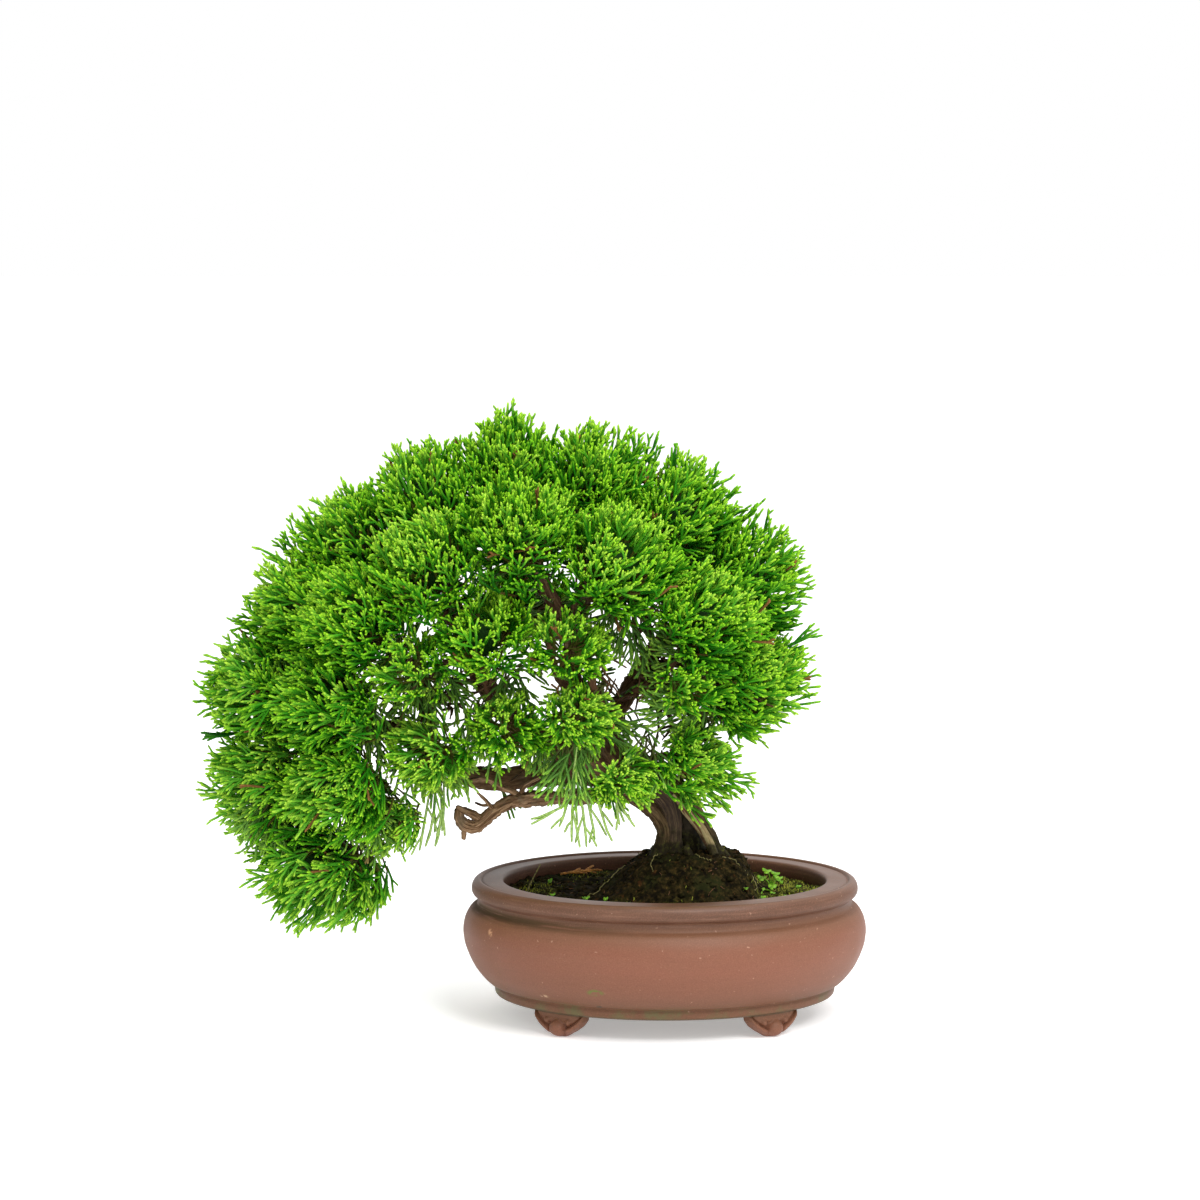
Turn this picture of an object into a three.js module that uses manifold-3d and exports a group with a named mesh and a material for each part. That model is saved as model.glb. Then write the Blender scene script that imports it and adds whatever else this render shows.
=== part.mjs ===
// A Chinese juniper trained as a bonsai, growing in an oval stoneware pot on four cloud feet.
// Millimetres, +Z up. Every piece is placed from the pot's centre on the ground, and at the end
// the whole is shifted so that the middle of its own outline stands over the origin.

import * as THREE from 'three';
import { mergeVertices } from 'three/addons/utils/BufferGeometryUtils.js';
import Module from 'manifold-3d';

const wasm = await Module();
wasm.setup();
const { Vector3, Line3 } = THREE;

// Driving dimensions
const GAP = 0.35;                // air between two pieces that touch
const POT_HALF_LENGTH = 99.8;    // half length of the belly
const OVAL_INSET = 18.5;          // the oval reaches this much less to the front than to the side
const OVAL_STATIONS = 28;        // corners around the oval
const BASE_HEIGHT = 11.5;        // underside of the base, and height of the feet
const FLOOR_HEIGHT = 17.5;       // top of the pot's floor
const FOOT_CENTRE = [50, 44.5];  // how far a foot stands to the side and to the front
const FOOT_THICKNESS = 11;
const DRAIN_HOLE_X = 38;         // the two drain holes lie at +x and -x
const DRAIN_HOLE_RADIUS = 8;
const DRAIN_MESH_SIDE = 26;
const DRAIN_MESH_THICKNESS = 1.2;
const SOIL_LEVEL = 61.6;         // soil surface along the rim
const MOUND_CENTRE = [18, -1];   // raised root ball under the trunk
const MOUND_HEIGHT = 20.5;
const MOUND_REACH = { left: 58, right: 34, front: 44, back: 44 };
const MOUND_TOP_SHARE = 0.42;    // level part of the mound's top, as a share of its reach
const MOUND_EXTRA_TO_RIGHT = 0.3; // the mound stays level further to the right
const SOIL_TOP_SHARES = [0, 0.3, 0.54, 0.78]; // rings of the soil's surface from the rim to the mound
const SPROUT_LEAF_RADIUS = 2.3;
const SPROUT_LEAF_THICKNESS = 0.8;
const SPRIG_LIFT = 1.6;          // middle of the fallen sprig's stem over the soil
const LIMB_STEP = 21;            // length of one facet along a limb
const THICK_LIMB = 5;            // a limb that starts thicker than this has six sides, not four
const BRANCHLET_END_RADIUS = 1.4;
const CORE_SHARE = 0.7;          // a foliage mass's dense core as a share of its half size
const CORE_DENTS = 0.18;         // how much of its radius a core is dented, at most
const FACET_STEPS = [2, 3];      // how finely a small and a large core are faceted, a spray to a facet
const LARGE_MASS = 25;           // half size from which a mass has the finer facets
const SPRAY_REACH = [0.88, 1.12]; // how far a spray's tip comes, as a share of the half size
const LEAST_SPRAY = 4;           // a shorter spray is left out
const INWARD_LIMIT = -0.5;       // no spray grows where the cosine to the outward way is less
const DRAW_SEED = 20;

const COLOURS = {
  pot: 0x8a5a4b,
  drainMesh: 0x2c2f2e,
  soil: 0x30281c,
  wood: 0x6b4f3d,
  foliage: 0x3f9a1c,
  sprout: 0x79c02a,
  sprig: 0xb5702f,
};

// Pot wall from the base's edge over the rim and down inside:
// how far in from the belly's widest line, and height.
const WALL_OUTSIDE = [
  [17.6, 11.5], [15.7, 13.0], [15.5, 16.6],
  [13.2, 17.0], [8.6, 22.2], [2.9, 31.6], [0, 43.2], [1.4, 51.0], [5.4, 56.3],
  [6.6, 57.2], [6.6, 60.9],
  [4.3, 63.6], [5.2, 67.4], [7.7, 69.1],
];
const RIM_TOP = [[8.9, 68.4], [18.9, 68.6], [20.1, 67.2]];
const WALL_INSIDE = [[20.1, 60.2], [8.5, 49], [8.5, 35], [18, 19.6], [24, FLOOR_HEIGHT]];
// Half a foot, from its round toe up its scroll and into the base: half width, and height
const FOOT_SIDE = [[3.2, 0], [5.3, 1.5], [7.2, 2.6], [11, 5.6], [13.4, 9], [14, 14]];

// A stem or limb: points along it from the trunk outward, each with its radius.
const TRUNK_STRANDS = [
  [[-5, -3, 72, 8], [0, -4, 86, 6.5], [2, -4, 95, 6.5], [-4, -4, 105, 7.5], [-21, -4, 124, 8.5]],
  [[11, -6, 70, 9], [9, -5, 88, 7.5], [4, -5, 101, 7.5], [-7, -4, 114, 8], [-24, -3, 126, 8.5]],
  [[26, 0, 71, 6], [20, 0, 88, 5], [12, 0, 103, 5.5], [1, 1, 115, 6.5], [-18, 0, 129, 8]],
  [[13, 8, 72, 9], [11, 7, 88, 8], [4, 6, 102, 7.5], [-8, 4, 115, 8], [-24, 2, 128, 8]],
];
const LIMBS = {
  trunkTop: [
    [-14, -2, 120, 9], [-25, -1, 129, 9], [-32, 0, 140, 7.5], [-36, 2, 152, 6.5],
  ],
  right: [
    [-30, 0, 134, 6], [-24, 3, 152, 5], [-13, 6, 169, 4.2], [-1, 6, 187, 3.6], [16, 4, 202, 3],
    [36, 2, 212, 2.4],
  ],
  rightLow: [[-15, 5, 165, 3.4], [4, 0, 164, 2.8], [28, -6, 165, 2.2]],
  centre: [
    [-34, 1, 148, 6.5], [-46, 2, 166, 5.6], [-44, 4, 190, 4.8], [-38, 6, 215, 3.8], [-33, 6, 240, 2.6],
  ],
  centreRight: [[-39, 6, 211, 3.4], [-14, 8, 225, 3], [4, 6, 236, 2.2]],
  apex: [[-44, 4, 188, 4], [-58, 8, 211, 3.5], [-68, 10, 235, 3], [-77, 10, 262, 2.2]],
  back: [[-45, 4, 182, 4], [-51, 28, 194, 3.4], [-58, 52, 204, 2.6]],
  left: [
    [-27, -3, 127, 7], [-52, -2, 133, 6], [-74, 0, 147, 5.6], [-88, 2, 164, 5],
    [-96, 2, 181, 4.6], [-103, 2, 200, 4], [-107, 2, 219, 3.2], [-106, 4, 239, 2.3],
  ],
  leftFar: [[-102, 2, 197, 3.6], [-124, 2, 206, 3], [-144, 2, 213, 2.4]],
  cascade: [
    [-14, -2, 120, 7], [-42, -2, 122.5, 6.2], [-64, 0, 121, 5.8], [-86, 2, 118, 5.6],
    [-106, 3, 124, 5.2], [-120, 4, 136, 5], [-140, 4, 143, 4.4], [-158, 7, 141, 3.8],
    [-170, 11, 130, 3.2], [-172, 10, 116, 2.6], [-174, 3, 101, 2],
  ],
  cascadeUp: [
    [-116, 3, 132, 4.2], [-118, 3, 156, 4], [-128, 6, 174, 3.4], [-146, 10, 187, 2.8],
    [-166, 8, 190, 2.2],
  ],
  deadBranch: [
    [-8, -7, 111, 4.2], [-22, -12, 113, 3.8], [-38, -15, 112, 3.4], [-52, -16, 112, 3.3],
    [-66, -17, 111.5, 3.9], [-77, -17, 109.3, 3.2], [-85, -17, 104, 3.2], [-92, -17, 98, 3],
  ],
  deadHook: [
    [-91, -17, 98, 2.4], [-98, -17, 98.6, 2.5], [-101, -17, 103, 2.2], [-98.5, -17, 106, 1.8],
    [-90, -17, 101.8, 1.7],
  ],
  deadStub: [[-98, -17, 99, 1.6], [-98.5, -17, 95, 1.4], [-98.6, -17, 91, 1.1]],
  deadTwig: [[-72, -17, 112, 1.8], [-79, -19, 116, 1.6], [-86, -20, 121, 1.5], [-101, -21, 121, 1.2]],
};
const LIMBS_WITHOUT_BRANCHLETS = ['deadBranch', 'deadHook', 'deadStub', 'deadTwig'];
const SURFACE_ROOTS = [
  [[-1, -6, 90, 2.6], [-7, -10, 84, 2], [-12, -14, 77, 1.4], [-14, -17, 70, 1.2]],
  [[16, -8, 88, 2.4], [19, -14, 82.5, 2], [25, -19, 80, 1.5], [27, -22, 73, 1.2]],
  [[24, -1, 89, 2.6], [31, 1, 83.5, 2.2], [36, 3, 78, 1.6]],
  [[12, 11, 89, 3], [10, 17, 83, 2.4], [5, 22, 77, 1.8], [2, 25, 70, 1.4]],
];

// Foliage masses: middle, half width and half height out to the furthest tips.
const MASSES = [
  [-168, -6, 79, 36, 36], [-193, 2, 118, 33, 34], [-158, -30, 121, 30, 29], [-195, 2, 163, 32, 31],
  [-160, -36, 162, 32, 29], [-172, 38, 145, 32, 34], [-174, 0, 204, 30, 28], [-148, -40, 202, 31, 28],
  [-150, 42, 198, 32, 30], [-150, 4, 233, 32, 29], [-116, 0, 255, 33, 30], [-112, -45, 228, 33, 29],
  [-112, 46, 229, 33, 30], [-79, 8, 265, 31, 32], [-70, -49, 243, 33, 30], [-70, 54, 242, 34, 31],
  [-36, 4, 262, 33, 31], [-26, -48, 230, 34, 31], [-26, 53, 229, 34, 31], [5, 0, 246, 33, 32],
  [18, -41, 201, 31, 29], [16, 45, 204, 32, 30], [38, 0, 216, 31, 32], [39, -10, 168, 29, 29],
  [32, 34, 169, 27, 27], [12, -26, 132, 24, 19], [-124, -50, 183, 23, 19], [-48, -60, 192, 23, 17],
  [-113, -42, 138, 22, 18], [-77, -50, 150, 19, 15], [-43, -58, 157, 18, 16], [-20, -44, 125, 17, 14],
  [-137, -22, 105, 21, 19], [-74, 76, 196, 29, 23], [-87, -60, 197, 26, 21], [-142, 8, 103, 21, 18],
  [12, -46, 176, 22, 17],
];
const CROWN_HEART = new Vector3(-75, 0, 165);

// Small things that lie or grow on the soil
const SPROUT_FOOT = [56, 5];
const SPRIG_LINE = [[-54, 38], [-43, 43], [-31, 49]];

// Repeatable draw of numbers from 0 to 1
function seededDraw(seed) {
  let state = seed;
  return () => {
    state = (state + 0x6d2b79f5) | 0;
    let mixed = Math.imul(state ^ (state >>> 15), 1 | state);
    mixed = (mixed + Math.imul(mixed ^ (mixed >>> 7), 61 | mixed)) ^ mixed;
    return ((mixed ^ (mixed >>> 14)) >>> 0) / 4294967296;
  };
}

// Closed geometry as a solid that can be joined and cut
function toSolid(geometry) {
  const bare = geometry.clone();
  bare.deleteAttribute('normal');
  bare.deleteAttribute('uv');
  const merged = mergeVertices(bare, 1e-3);
  const corners = merged.index.array;
  const kept = [];
  for (let i = 0; i < corners.length; i += 3) {
    const [a, b, c] = corners.slice(i, i + 3);
    if (a !== b && b !== c && c !== a) {
      kept.push(a, b, c);
    }
  }
  return new wasm.Manifold(new wasm.Mesh({
    numProp: 3,
    vertProperties: new Float32Array(merged.attributes.position.array),
    triVerts: new Uint32Array(kept),
  }));
}

function join(solids) {
  return solids.reduce((whole, solid) => whole.add(solid));
}

function toGeometry(solid) {
  const { vertProperties, triVerts } = solid.getMesh();
  const geometry = new THREE.BufferGeometry();
  geometry.setAttribute('position', new THREE.BufferAttribute(vertProperties, 3));
  geometry.setIndex(new THREE.BufferAttribute(triVerts, 1));
  return geometry;
}

// Skin over a row of closed rings, which run counter-clockwise seen against the row's direction,
// with a point closing each end
function skinRings(rings, firstPoint, lastPoint) {
  const count = rings[0].length;
  const positions = [firstPoint, ...rings.flat(), lastPoint].flatMap((point) => point.toArray());
  const corner = (ring, station) => 1 + ring * count + (station % count);
  const lastCorner = 1 + rings.length * count;
  const index = [];
  for (let station = 0; station < count; station += 1) {
    index.push(0, corner(0, station + 1), corner(0, station));
    for (let ring = 0; ring < rings.length - 1; ring += 1) {
      const [a, b] = [corner(ring, station), corner(ring, station + 1)];
      const [c, d] = [corner(ring + 1, station + 1), corner(ring + 1, station)];
      index.push(a, b, c, a, c, d);
    }
    const top = rings.length - 1;
    index.push(lastCorner, corner(top, station), corner(top, station + 1));
  }
  const geometry = new THREE.BufferGeometry();
  geometry.setAttribute('position', new THREE.Float32BufferAttribute(positions, 3));
  geometry.setIndex(index);
  return geometry;
}

// The oval at a given half length. Inside the soil the middle rings shrink in proportion.
function ovalRing(halfLength, heightAt) {
  const halfDepth = halfLength - OVAL_INSET;
  return Array.from({ length: OVAL_STATIONS }, (_, station) => {
    const angle = (station / OVAL_STATIONS) * 2 * Math.PI;
    const [x, y] = [halfLength * Math.cos(angle), halfDepth * Math.sin(angle)];
    return new Vector3(x, y, heightAt(x, y));
  });
}

// Pot
function footOutline() {
  const rightSide = FOOT_SIDE.map(([across, height]) => new THREE.Vector2(across, height));
  const leftSide = FOOT_SIDE.map(([across, height]) => new THREE.Vector2(-across, height)).reverse();
  return new THREE.Shape([...rightSide, ...leftSide]);
}

function footSolid(sideX, sideY) {
  const geometry = new THREE.ExtrudeGeometry(footOutline(), {
    depth: FOOT_THICKNESS, bevelEnabled: false,
  });
  geometry.translate(0, 0, -FOOT_THICKNESS / 2);
  geometry.rotateX(Math.PI / 2);
  const baseHalfLength = POT_HALF_LENGTH - WALL_OUTSIDE[0][0];
  const flattening = (baseHalfLength - OVAL_INSET) / baseHalfLength;
  const turn = Math.atan2(FOOT_CENTRE[0] * flattening ** 2, FOOT_CENTRE[1]);
  geometry.rotateZ(-turn * sideX * sideY);
  geometry.translate(FOOT_CENTRE[0] * sideX, FOOT_CENTRE[1] * sideY, 0);
  return toSolid(geometry);
}

function drainHole(sideX) {
  const hole = new THREE.CylinderGeometry(DRAIN_HOLE_RADIUS, DRAIN_HOLE_RADIUS, 30, 10);
  hole.rotateX(Math.PI / 2);
  hole.translate(DRAIN_HOLE_X * sideX, 0, FLOOR_HEIGHT);
  return toSolid(hole);
}

function potSolid() {
  const profile = [...WALL_OUTSIDE, ...RIM_TOP, ...WALL_INSIDE];
  const rings = profile.map(([inset, height]) => ovalRing(POT_HALF_LENGTH - inset, () => height));
  const [under, floor] = [BASE_HEIGHT, FLOOR_HEIGHT].map((height) => new Vector3(0, 0, height));
  const wall = toSolid(skinRings(rings, under, floor));
  const feet = [[-1, -1], [1, -1], [1, 1], [-1, 1]].map(([x, y]) => footSolid(x, y));
  return join([wall, ...feet]).subtract(drainHole(-1)).subtract(drainHole(1));
}

// Square of plastic mesh over a drain hole
function plasticBox(side, middleX, middleY, grow) {
  const thickness = DRAIN_MESH_THICKNESS + 2 * grow;
  const box = new THREE.BoxGeometry(side, side, thickness);
  box.translate(middleX, middleY, FLOOR_HEIGHT + GAP - grow + thickness / 2);
  return toSolid(box);
}

function drainMeshSquare(sideX, grow) {
  return plasticBox(DRAIN_MESH_SIDE + 2 * grow, DRAIN_HOLE_X * sideX, 0, grow);
}

function drainMeshSolid(sideX) {
  const cell = DRAIN_MESH_SIDE / 3;
  let square = drainMeshSquare(sideX, 0);
  for (const acrossX of [-cell, 0, cell]) {
    for (const acrossY of [-cell, 0, cell]) {
      square = square.subtract(plasticBox(cell - 2, DRAIN_HOLE_X * sideX + acrossX, acrossY, 1));
    }
  }
  return square;
}

// Soil
function soilHeight(x, y) {
  const reachX = x < MOUND_CENTRE[0] ? MOUND_REACH.left : MOUND_REACH.right;
  const reachY = y < MOUND_CENTRE[1] ? MOUND_REACH.front : MOUND_REACH.back;
  const away = Math.hypot((x - MOUND_CENTRE[0]) / reachX, (y - MOUND_CENTRE[1]) / reachY);
  const toRight = Math.max(0, (x - MOUND_CENTRE[0]) / reachX) / Math.max(away, 1e-6);
  const topShare = MOUND_TOP_SHARE + MOUND_EXTRA_TO_RIGHT * toRight ** 2;
  const rise = 1 - THREE.MathUtils.smoothstep(away, topShare, 1);
  const unevenness = 0.8 * Math.sin(x / 9) * Math.cos(y / 7);
  return SOIL_LEVEL + MOUND_HEIGHT * rise + unevenness;
}

function soilBlock() {
  const side = [...WALL_INSIDE].reverse().map(([inset, height]) => (
    ovalRing(POT_HALF_LENGTH - inset - GAP, () => height + (height === FLOOR_HEIGHT ? GAP : 0))
  ));
  const edge = side.at(-1);
  const top = SOIL_TOP_SHARES.map((share) => edge.map((point) => {
    const x = THREE.MathUtils.lerp(point.x, MOUND_CENTRE[0], share);
    const y = THREE.MathUtils.lerp(point.y, MOUND_CENTRE[1], share);
    return new Vector3(x, y, soilHeight(x, y));
  }));
  const peak = new Vector3(...MOUND_CENTRE, soilHeight(...MOUND_CENTRE));
  const block = toSolid(skinRings([...side, ...top], new Vector3(0, 0, FLOOR_HEIGHT + GAP), peak));
  const pockets = [-1, 1].map((sideX) => drainMeshSquare(sideX, GAP));
  return pockets.reduce((whole, pocket) => whole.subtract(pocket), block);
}

// Wood: a round stretch that follows its points, thicker or thinner as each point says
function limbSolid(points, sides, steps, grow = 0) {
  const curve = new THREE.CatmullRomCurve3(points.map(([x, y, z]) => new Vector3(x, y, z)));
  const frames = curve.computeFrenetFrames(steps, false);
  const radiusAt = (share) => {
    const place = curve.getUtoTmapping(share) * (points.length - 1);
    const before = Math.min(Math.floor(place), points.length - 2);
    return THREE.MathUtils.lerp(points[before][3], points[before + 1][3], place - before) + grow;
  };
  const rings = Array.from({ length: steps + 1 }, (_, step) => {
    const middle = curve.getPointAt(step / steps);
    const radius = radiusAt(step / steps);
    return Array.from({ length: sides }, (unused, corner) => {
      const angle = (corner / sides) * 2 * Math.PI;
      return middle.clone()
        .addScaledVector(frames.normals[step], radius * Math.cos(angle))
        .addScaledVector(frames.binormals[step], radius * Math.sin(angle));
    });
  });
  const start = curve.getPointAt(0).addScaledVector(frames.tangents[0], -grow);
  const tip = curve.getPointAt(1).addScaledVector(frames.tangents[steps], 0.5 * radiusAt(1) + grow);
  return toSolid(skinRings(rings, start, tip));
}

function stepsAlong(points, stepLength) {
  const line = points.map(([x, y, z]) => new Vector3(x, y, z));
  const length = line.slice(1).reduce((sum, point, i) => sum + point.distanceTo(line[i]), 0);
  return Math.max(2, Math.round(length / stepLength));
}

// Straight pieces of a limb, each with the radius at its two ends, to test room against
function stretches(points) {
  return points.slice(1).map((end, i) => ({
    line: new Line3(new Vector3(...points[i]), new Vector3(...end)),
    startRadius: points[i][3],
    endRadius: end[3],
  }));
}

// Air between two straight tapered pieces
const nearHere = new Vector3();
const nearThere = new Vector3();
function airBetween(one, other) {
  const apart = Math.sqrt(one.line.distanceSqToLine3(other.line, nearHere, nearThere));
  const radiusOn = (piece, near) => THREE.MathUtils.lerp(
    piece.startRadius, piece.endRadius, near.distanceTo(piece.line.start) / piece.line.distance(),
  );
  return apart - radiusOn(one, nearHere) - radiusOn(other, nearThere);
}

function airToBall(piece, middle, radius) {
  piece.line.closestPointToPoint(middle, true, nearHere);
  const along = nearHere.distanceTo(piece.line.start) / piece.line.distance();
  const own = THREE.MathUtils.lerp(piece.startRadius, piece.endRadius, along);
  return nearHere.distanceTo(middle) - radius - own;
}

// Branchlet from the nearest free place on a limb to the middle of a mass
function routeBranchlet(mass, masses, limbPieces) {
  const routes = [];
  for (const piece of limbPieces) {
    for (const share of [0.1, 0.5, 0.9]) {
      const foot = piece.line.at(share, new Vector3());
      const footRadius = THREE.MathUtils.lerp(piece.startRadius, piece.endRadius, share);
      for (const lift of [0, 14, -14]) {
        const bend = foot.clone().lerp(mass.middle, 0.5);
        bend.z += lift;
        const end = mass.middle.clone().sub(bend).setLength(-0.7 * mass.coreRadius).add(mass.middle);
        const radius = Math.min(2.4, 0.7 * footRadius);
        const points = [
          [...foot.toArray(), radius],
          [...bend.toArray(), 0.5 * (radius + BRANCHLET_END_RADIUS)],
          [...end.toArray(), BRANCHLET_END_RADIUS],
        ];
        const length = foot.distanceTo(bend) + bend.distanceTo(end);
        routes.push({ points, cost: length + Math.abs(lift) * 0.4 });
      }
    }
  }
  routes.sort((one, other) => one.cost - other.cost);
  const isFree = ({ points }) => stretches(points).every((piece) => (
    masses.every((other) => other === mass || airToBall(piece, other.middle, other.coreRadius) > 1.5)
  ));
  return (routes.find(isFree) ?? routes[0]).points;
}

// How far a foliage mass may reach one way before it would press into a neighbour. The flat that
// parts two masses lies between them, nearer to the smaller one.
function roomFor(mass, masses, way) {
  const rooms = masses.filter((other) => other !== mass).map((other) => {
    const toOther = other.middle.clone().sub(mass.middle);
    const apart = toOther.length();
    const flatAt = (apart ** 2 + mass.size ** 2 - other.size ** 2) / (2 * apart);
    const slant = way.dot(toOther) / apart;
    return slant > 0 ? (flatAt - GAP / 2) / slant : Infinity;
  });
  return Math.min(...rooms);
}

function facetsOf(mass, draw) {
  const ball = new THREE.OctahedronGeometry(1, FACET_STEPS[mass.size < LARGE_MASS ? 0 : 1]);
  ball.deleteAttribute('normal');
  ball.deleteAttribute('uv');
  ball.rotateZ(draw() * Math.PI);
  ball.rotateX(draw() * Math.PI);
  return mergeVertices(ball);
}

// Tip of the spray that rises from a facet, or null where it would be short, face inward
// or meet wood
function sprayTip(mass, masses, way, root, draw, woodPieces) {
  const { halfWidth, halfHeight } = mass;
  const halfSize = 1 / Math.hypot(way.x / halfWidth, way.y / halfWidth, way.z / halfHeight);
  const reach = halfSize * THREE.MathUtils.lerp(...SPRAY_REACH, draw());
  const length = Math.min(reach, roomFor(mass, masses, way));
  const outward = mass.middle.clone().sub(CROWN_HEART).normalize();
  if (length < mass.coreRadius + LEAST_SPRAY || way.dot(outward) < INWARD_LIMIT) {
    return null;
  }
  const tip = mass.middle.clone().addScaledVector(way, length);
  const spray = { line: new Line3(root, tip), startRadius: 0.22 * mass.coreRadius, endRadius: 0 };
  return woodPieces.every((piece) => airBetween(spray, piece) > GAP) ? tip : null;
}

// Foliage mass: a dense dented core, whose facets rise into pointed sprays of twigs
function massSolid(mass, masses, { grow = 0, woodPieces = null }) {
  const draw = seededDraw(DRAW_SEED + mass.number);
  const ball = facetsOf(mass, draw);
  const ways = Array.from({ length: ball.attributes.position.count }, (_, corner) => (
    new Vector3().fromBufferAttribute(ball.attributes.position, corner)
  ));
  const points = ways.map((way) => {
    const dented = mass.coreRadius * (1 - CORE_DENTS * draw());
    const radius = Math.min(dented, roomFor(mass, masses, way));
    return mass.middle.clone().addScaledVector(way, radius + grow);
  });
  const index = [];
  for (let i = 0; i < ball.index.count; i += 3) {
    const [a, b, c] = ball.index.array.slice(i, i + 3);
    const shares = [draw(), draw(), draw()].map((share) => 0.6 + share);
    const way = ways[a].clone().multiplyScalar(shares[0])
      .addScaledVector(ways[b], shares[1])
      .addScaledVector(ways[c], shares[2])
      .normalize();
    const root = points[a].clone().add(points[b]).add(points[c]).divideScalar(3);
    const tip = woodPieces && sprayTip(mass, masses, way, root, draw, woodPieces);
    if (tip) {
      const top = points.push(tip) - 1;
      index.push(a, b, top, b, c, top, c, a, top);
    } else {
      index.push(a, b, c);
    }
  }
  const geometry = new THREE.BufferGeometry();
  const positions = points.flatMap((point) => point.toArray());
  geometry.setAttribute('position', new THREE.Float32BufferAttribute(positions, 3));
  geometry.setIndex(index);
  return toSolid(geometry);
}

// Small weed that grows on the soil: curled stems with a round leaf on each
function sproutSolid(grow = 0) {
  const [x, y] = SPROUT_FOOT;
  const foot = soilHeight(x, y);
  const stems = [[-3, -4, 10], [5, -3, 11], [6, 4, 8]];
  const pieces = stems.map(([reachX, reachY, rise]) => limbSolid([
    [x, y, foot - 3, 1], [x + 0.35 * reachX, y + 0.35 * reachY, foot + 0.75 * rise, 0.7],
    [x + reachX, y + reachY, foot + rise, 0.5],
  ], 4, 2, grow));
  const leaves = grow ? [] : stems.map(([reachX, reachY, rise]) => {
    const leaf = new THREE.CylinderGeometry(
      SPROUT_LEAF_RADIUS, SPROUT_LEAF_RADIUS, SPROUT_LEAF_THICKNESS, 6,
    );
    leaf.rotateX(Math.PI / 2);
    leaf.rotateY(reachX * 0.05);
    leaf.translate(x + reachX, y + reachY, foot + rise);
    return toSolid(leaf);
  });
  return join([...pieces, ...leaves]);
}

// Dry juniper sprig that fell on the soil
function sprigSolid() {
  const onSoil = (x, y, radius) => [x, y, soilHeight(x, y) + SPRIG_LIFT, radius];
  const stem = SPRIG_LINE.map(([x, y]) => onSoil(x, y, 0.9));
  const sides = [[0.3, 1], [0.55, -1], [0.75, 1]].map(([share, side]) => {
    const [startX, startY] = SPRIG_LINE[0];
    const [endX, endY] = SPRIG_LINE.at(-1);
    const x = THREE.MathUtils.lerp(startX, endX, share);
    const y = THREE.MathUtils.lerp(startY, endY, share);
    return limbSolid([onSoil(x, y, 0.7), onSoil(x + 6, y + 3 * side, 0.6)], 4, 2);
  });
  return join([limbSolid(stem, 4, 3), ...sides]);
}

// Assembly
const bonsai = new THREE.Group();

function addPiece(name, solid, colour, roughness) {
  const material = new THREE.MeshStandardMaterial({ color: colour, roughness, metalness: 0 });
  const mesh = new THREE.Mesh(toGeometry(solid), material);
  mesh.name = name;
  bonsai.add(mesh);
}

const masses = MASSES.map(([x, y, z, halfWidth, halfHeight], number) => ({
  number,
  middle: new Vector3(x, y, z),
  halfWidth,
  halfHeight,
  size: 0.5 * (halfWidth + halfHeight),
  coreRadius: CORE_SHARE * 0.5 * (halfWidth + halfHeight),
}));
const branchedLimbs = Object.entries(LIMBS)
  .filter(([name]) => !LIMBS_WITHOUT_BRANCHLETS.includes(name));
const branchedPieces = branchedLimbs.flatMap(([, points]) => stretches(points));
const branchlets = masses.map((mass) => routeBranchlet(mass, masses, branchedPieces));
const woodPieces = [...TRUNK_STRANDS, ...Object.values(LIMBS), ...branchlets].flatMap(stretches);

const rooted = (grow) => [
  ...TRUNK_STRANDS.map((points) => limbSolid(points, 7, 5, grow)),
  ...SURFACE_ROOTS.map((points) => limbSolid(points, 4, 2, grow)),
];
const grownWood = join([
  ...rooted(0),
  ...Object.values(LIMBS).map((points) => (
    limbSolid(points, points[0][3] > THICK_LIMB ? 6 : 4, stepsAlong(points, LIMB_STEP))
  )),
  ...branchlets.map((points) => limbSolid(points, 3, 2)),
]);
const openWood = masses.reduce(
  (wood, mass) => wood.subtract(massSolid(mass, masses, { grow: 1.25 * GAP })), grownWood,
);
const [wood] = openWood.decompose().sort((one, other) => other.volume() - one.volume());
const soil = rooted(GAP).reduce((block, root) => block.subtract(root), soilBlock());

addPiece('pot', potSolid(), COLOURS.pot, 0.6);
addPiece('drain_mesh_left', drainMeshSolid(-1), COLOURS.drainMesh, 0.7);
addPiece('drain_mesh_right', drainMeshSolid(1), COLOURS.drainMesh, 0.7);
addPiece('soil', soil.subtract(sproutSolid(GAP)), COLOURS.soil, 0.95);
addPiece('trunk_and_branches', wood, COLOURS.wood, 0.85);
addPiece('weed_sprout', sproutSolid(), COLOURS.sprout, 0.5);
addPiece('fallen_sprig', sprigSolid(), COLOURS.sprig, 0.8);
for (const mass of masses) {
  const number = String(mass.number + 1).padStart(2, '0');
  addPiece(`foliage_${number}`, massSolid(mass, masses, { woodPieces }), COLOURS.foliage, 0.5);
}

const outline = new THREE.Box3().setFromObject(bonsai);
const middle = outline.getCenter(new Vector3());
bonsai.position.set(-middle.x, -middle.y, -outline.min.z);
bonsai.updateMatrixWorld(true);

export default bonsai;
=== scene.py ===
"""Looks of a Chinese juniper bonsai in an oval stoneware pot.

Lengths are millimetres, measured from the pot's centre on the ground, unless a name says metres.
"""

import math

import bpy
import numpy as np
from mathutils import Euler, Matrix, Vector, noise


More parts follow.
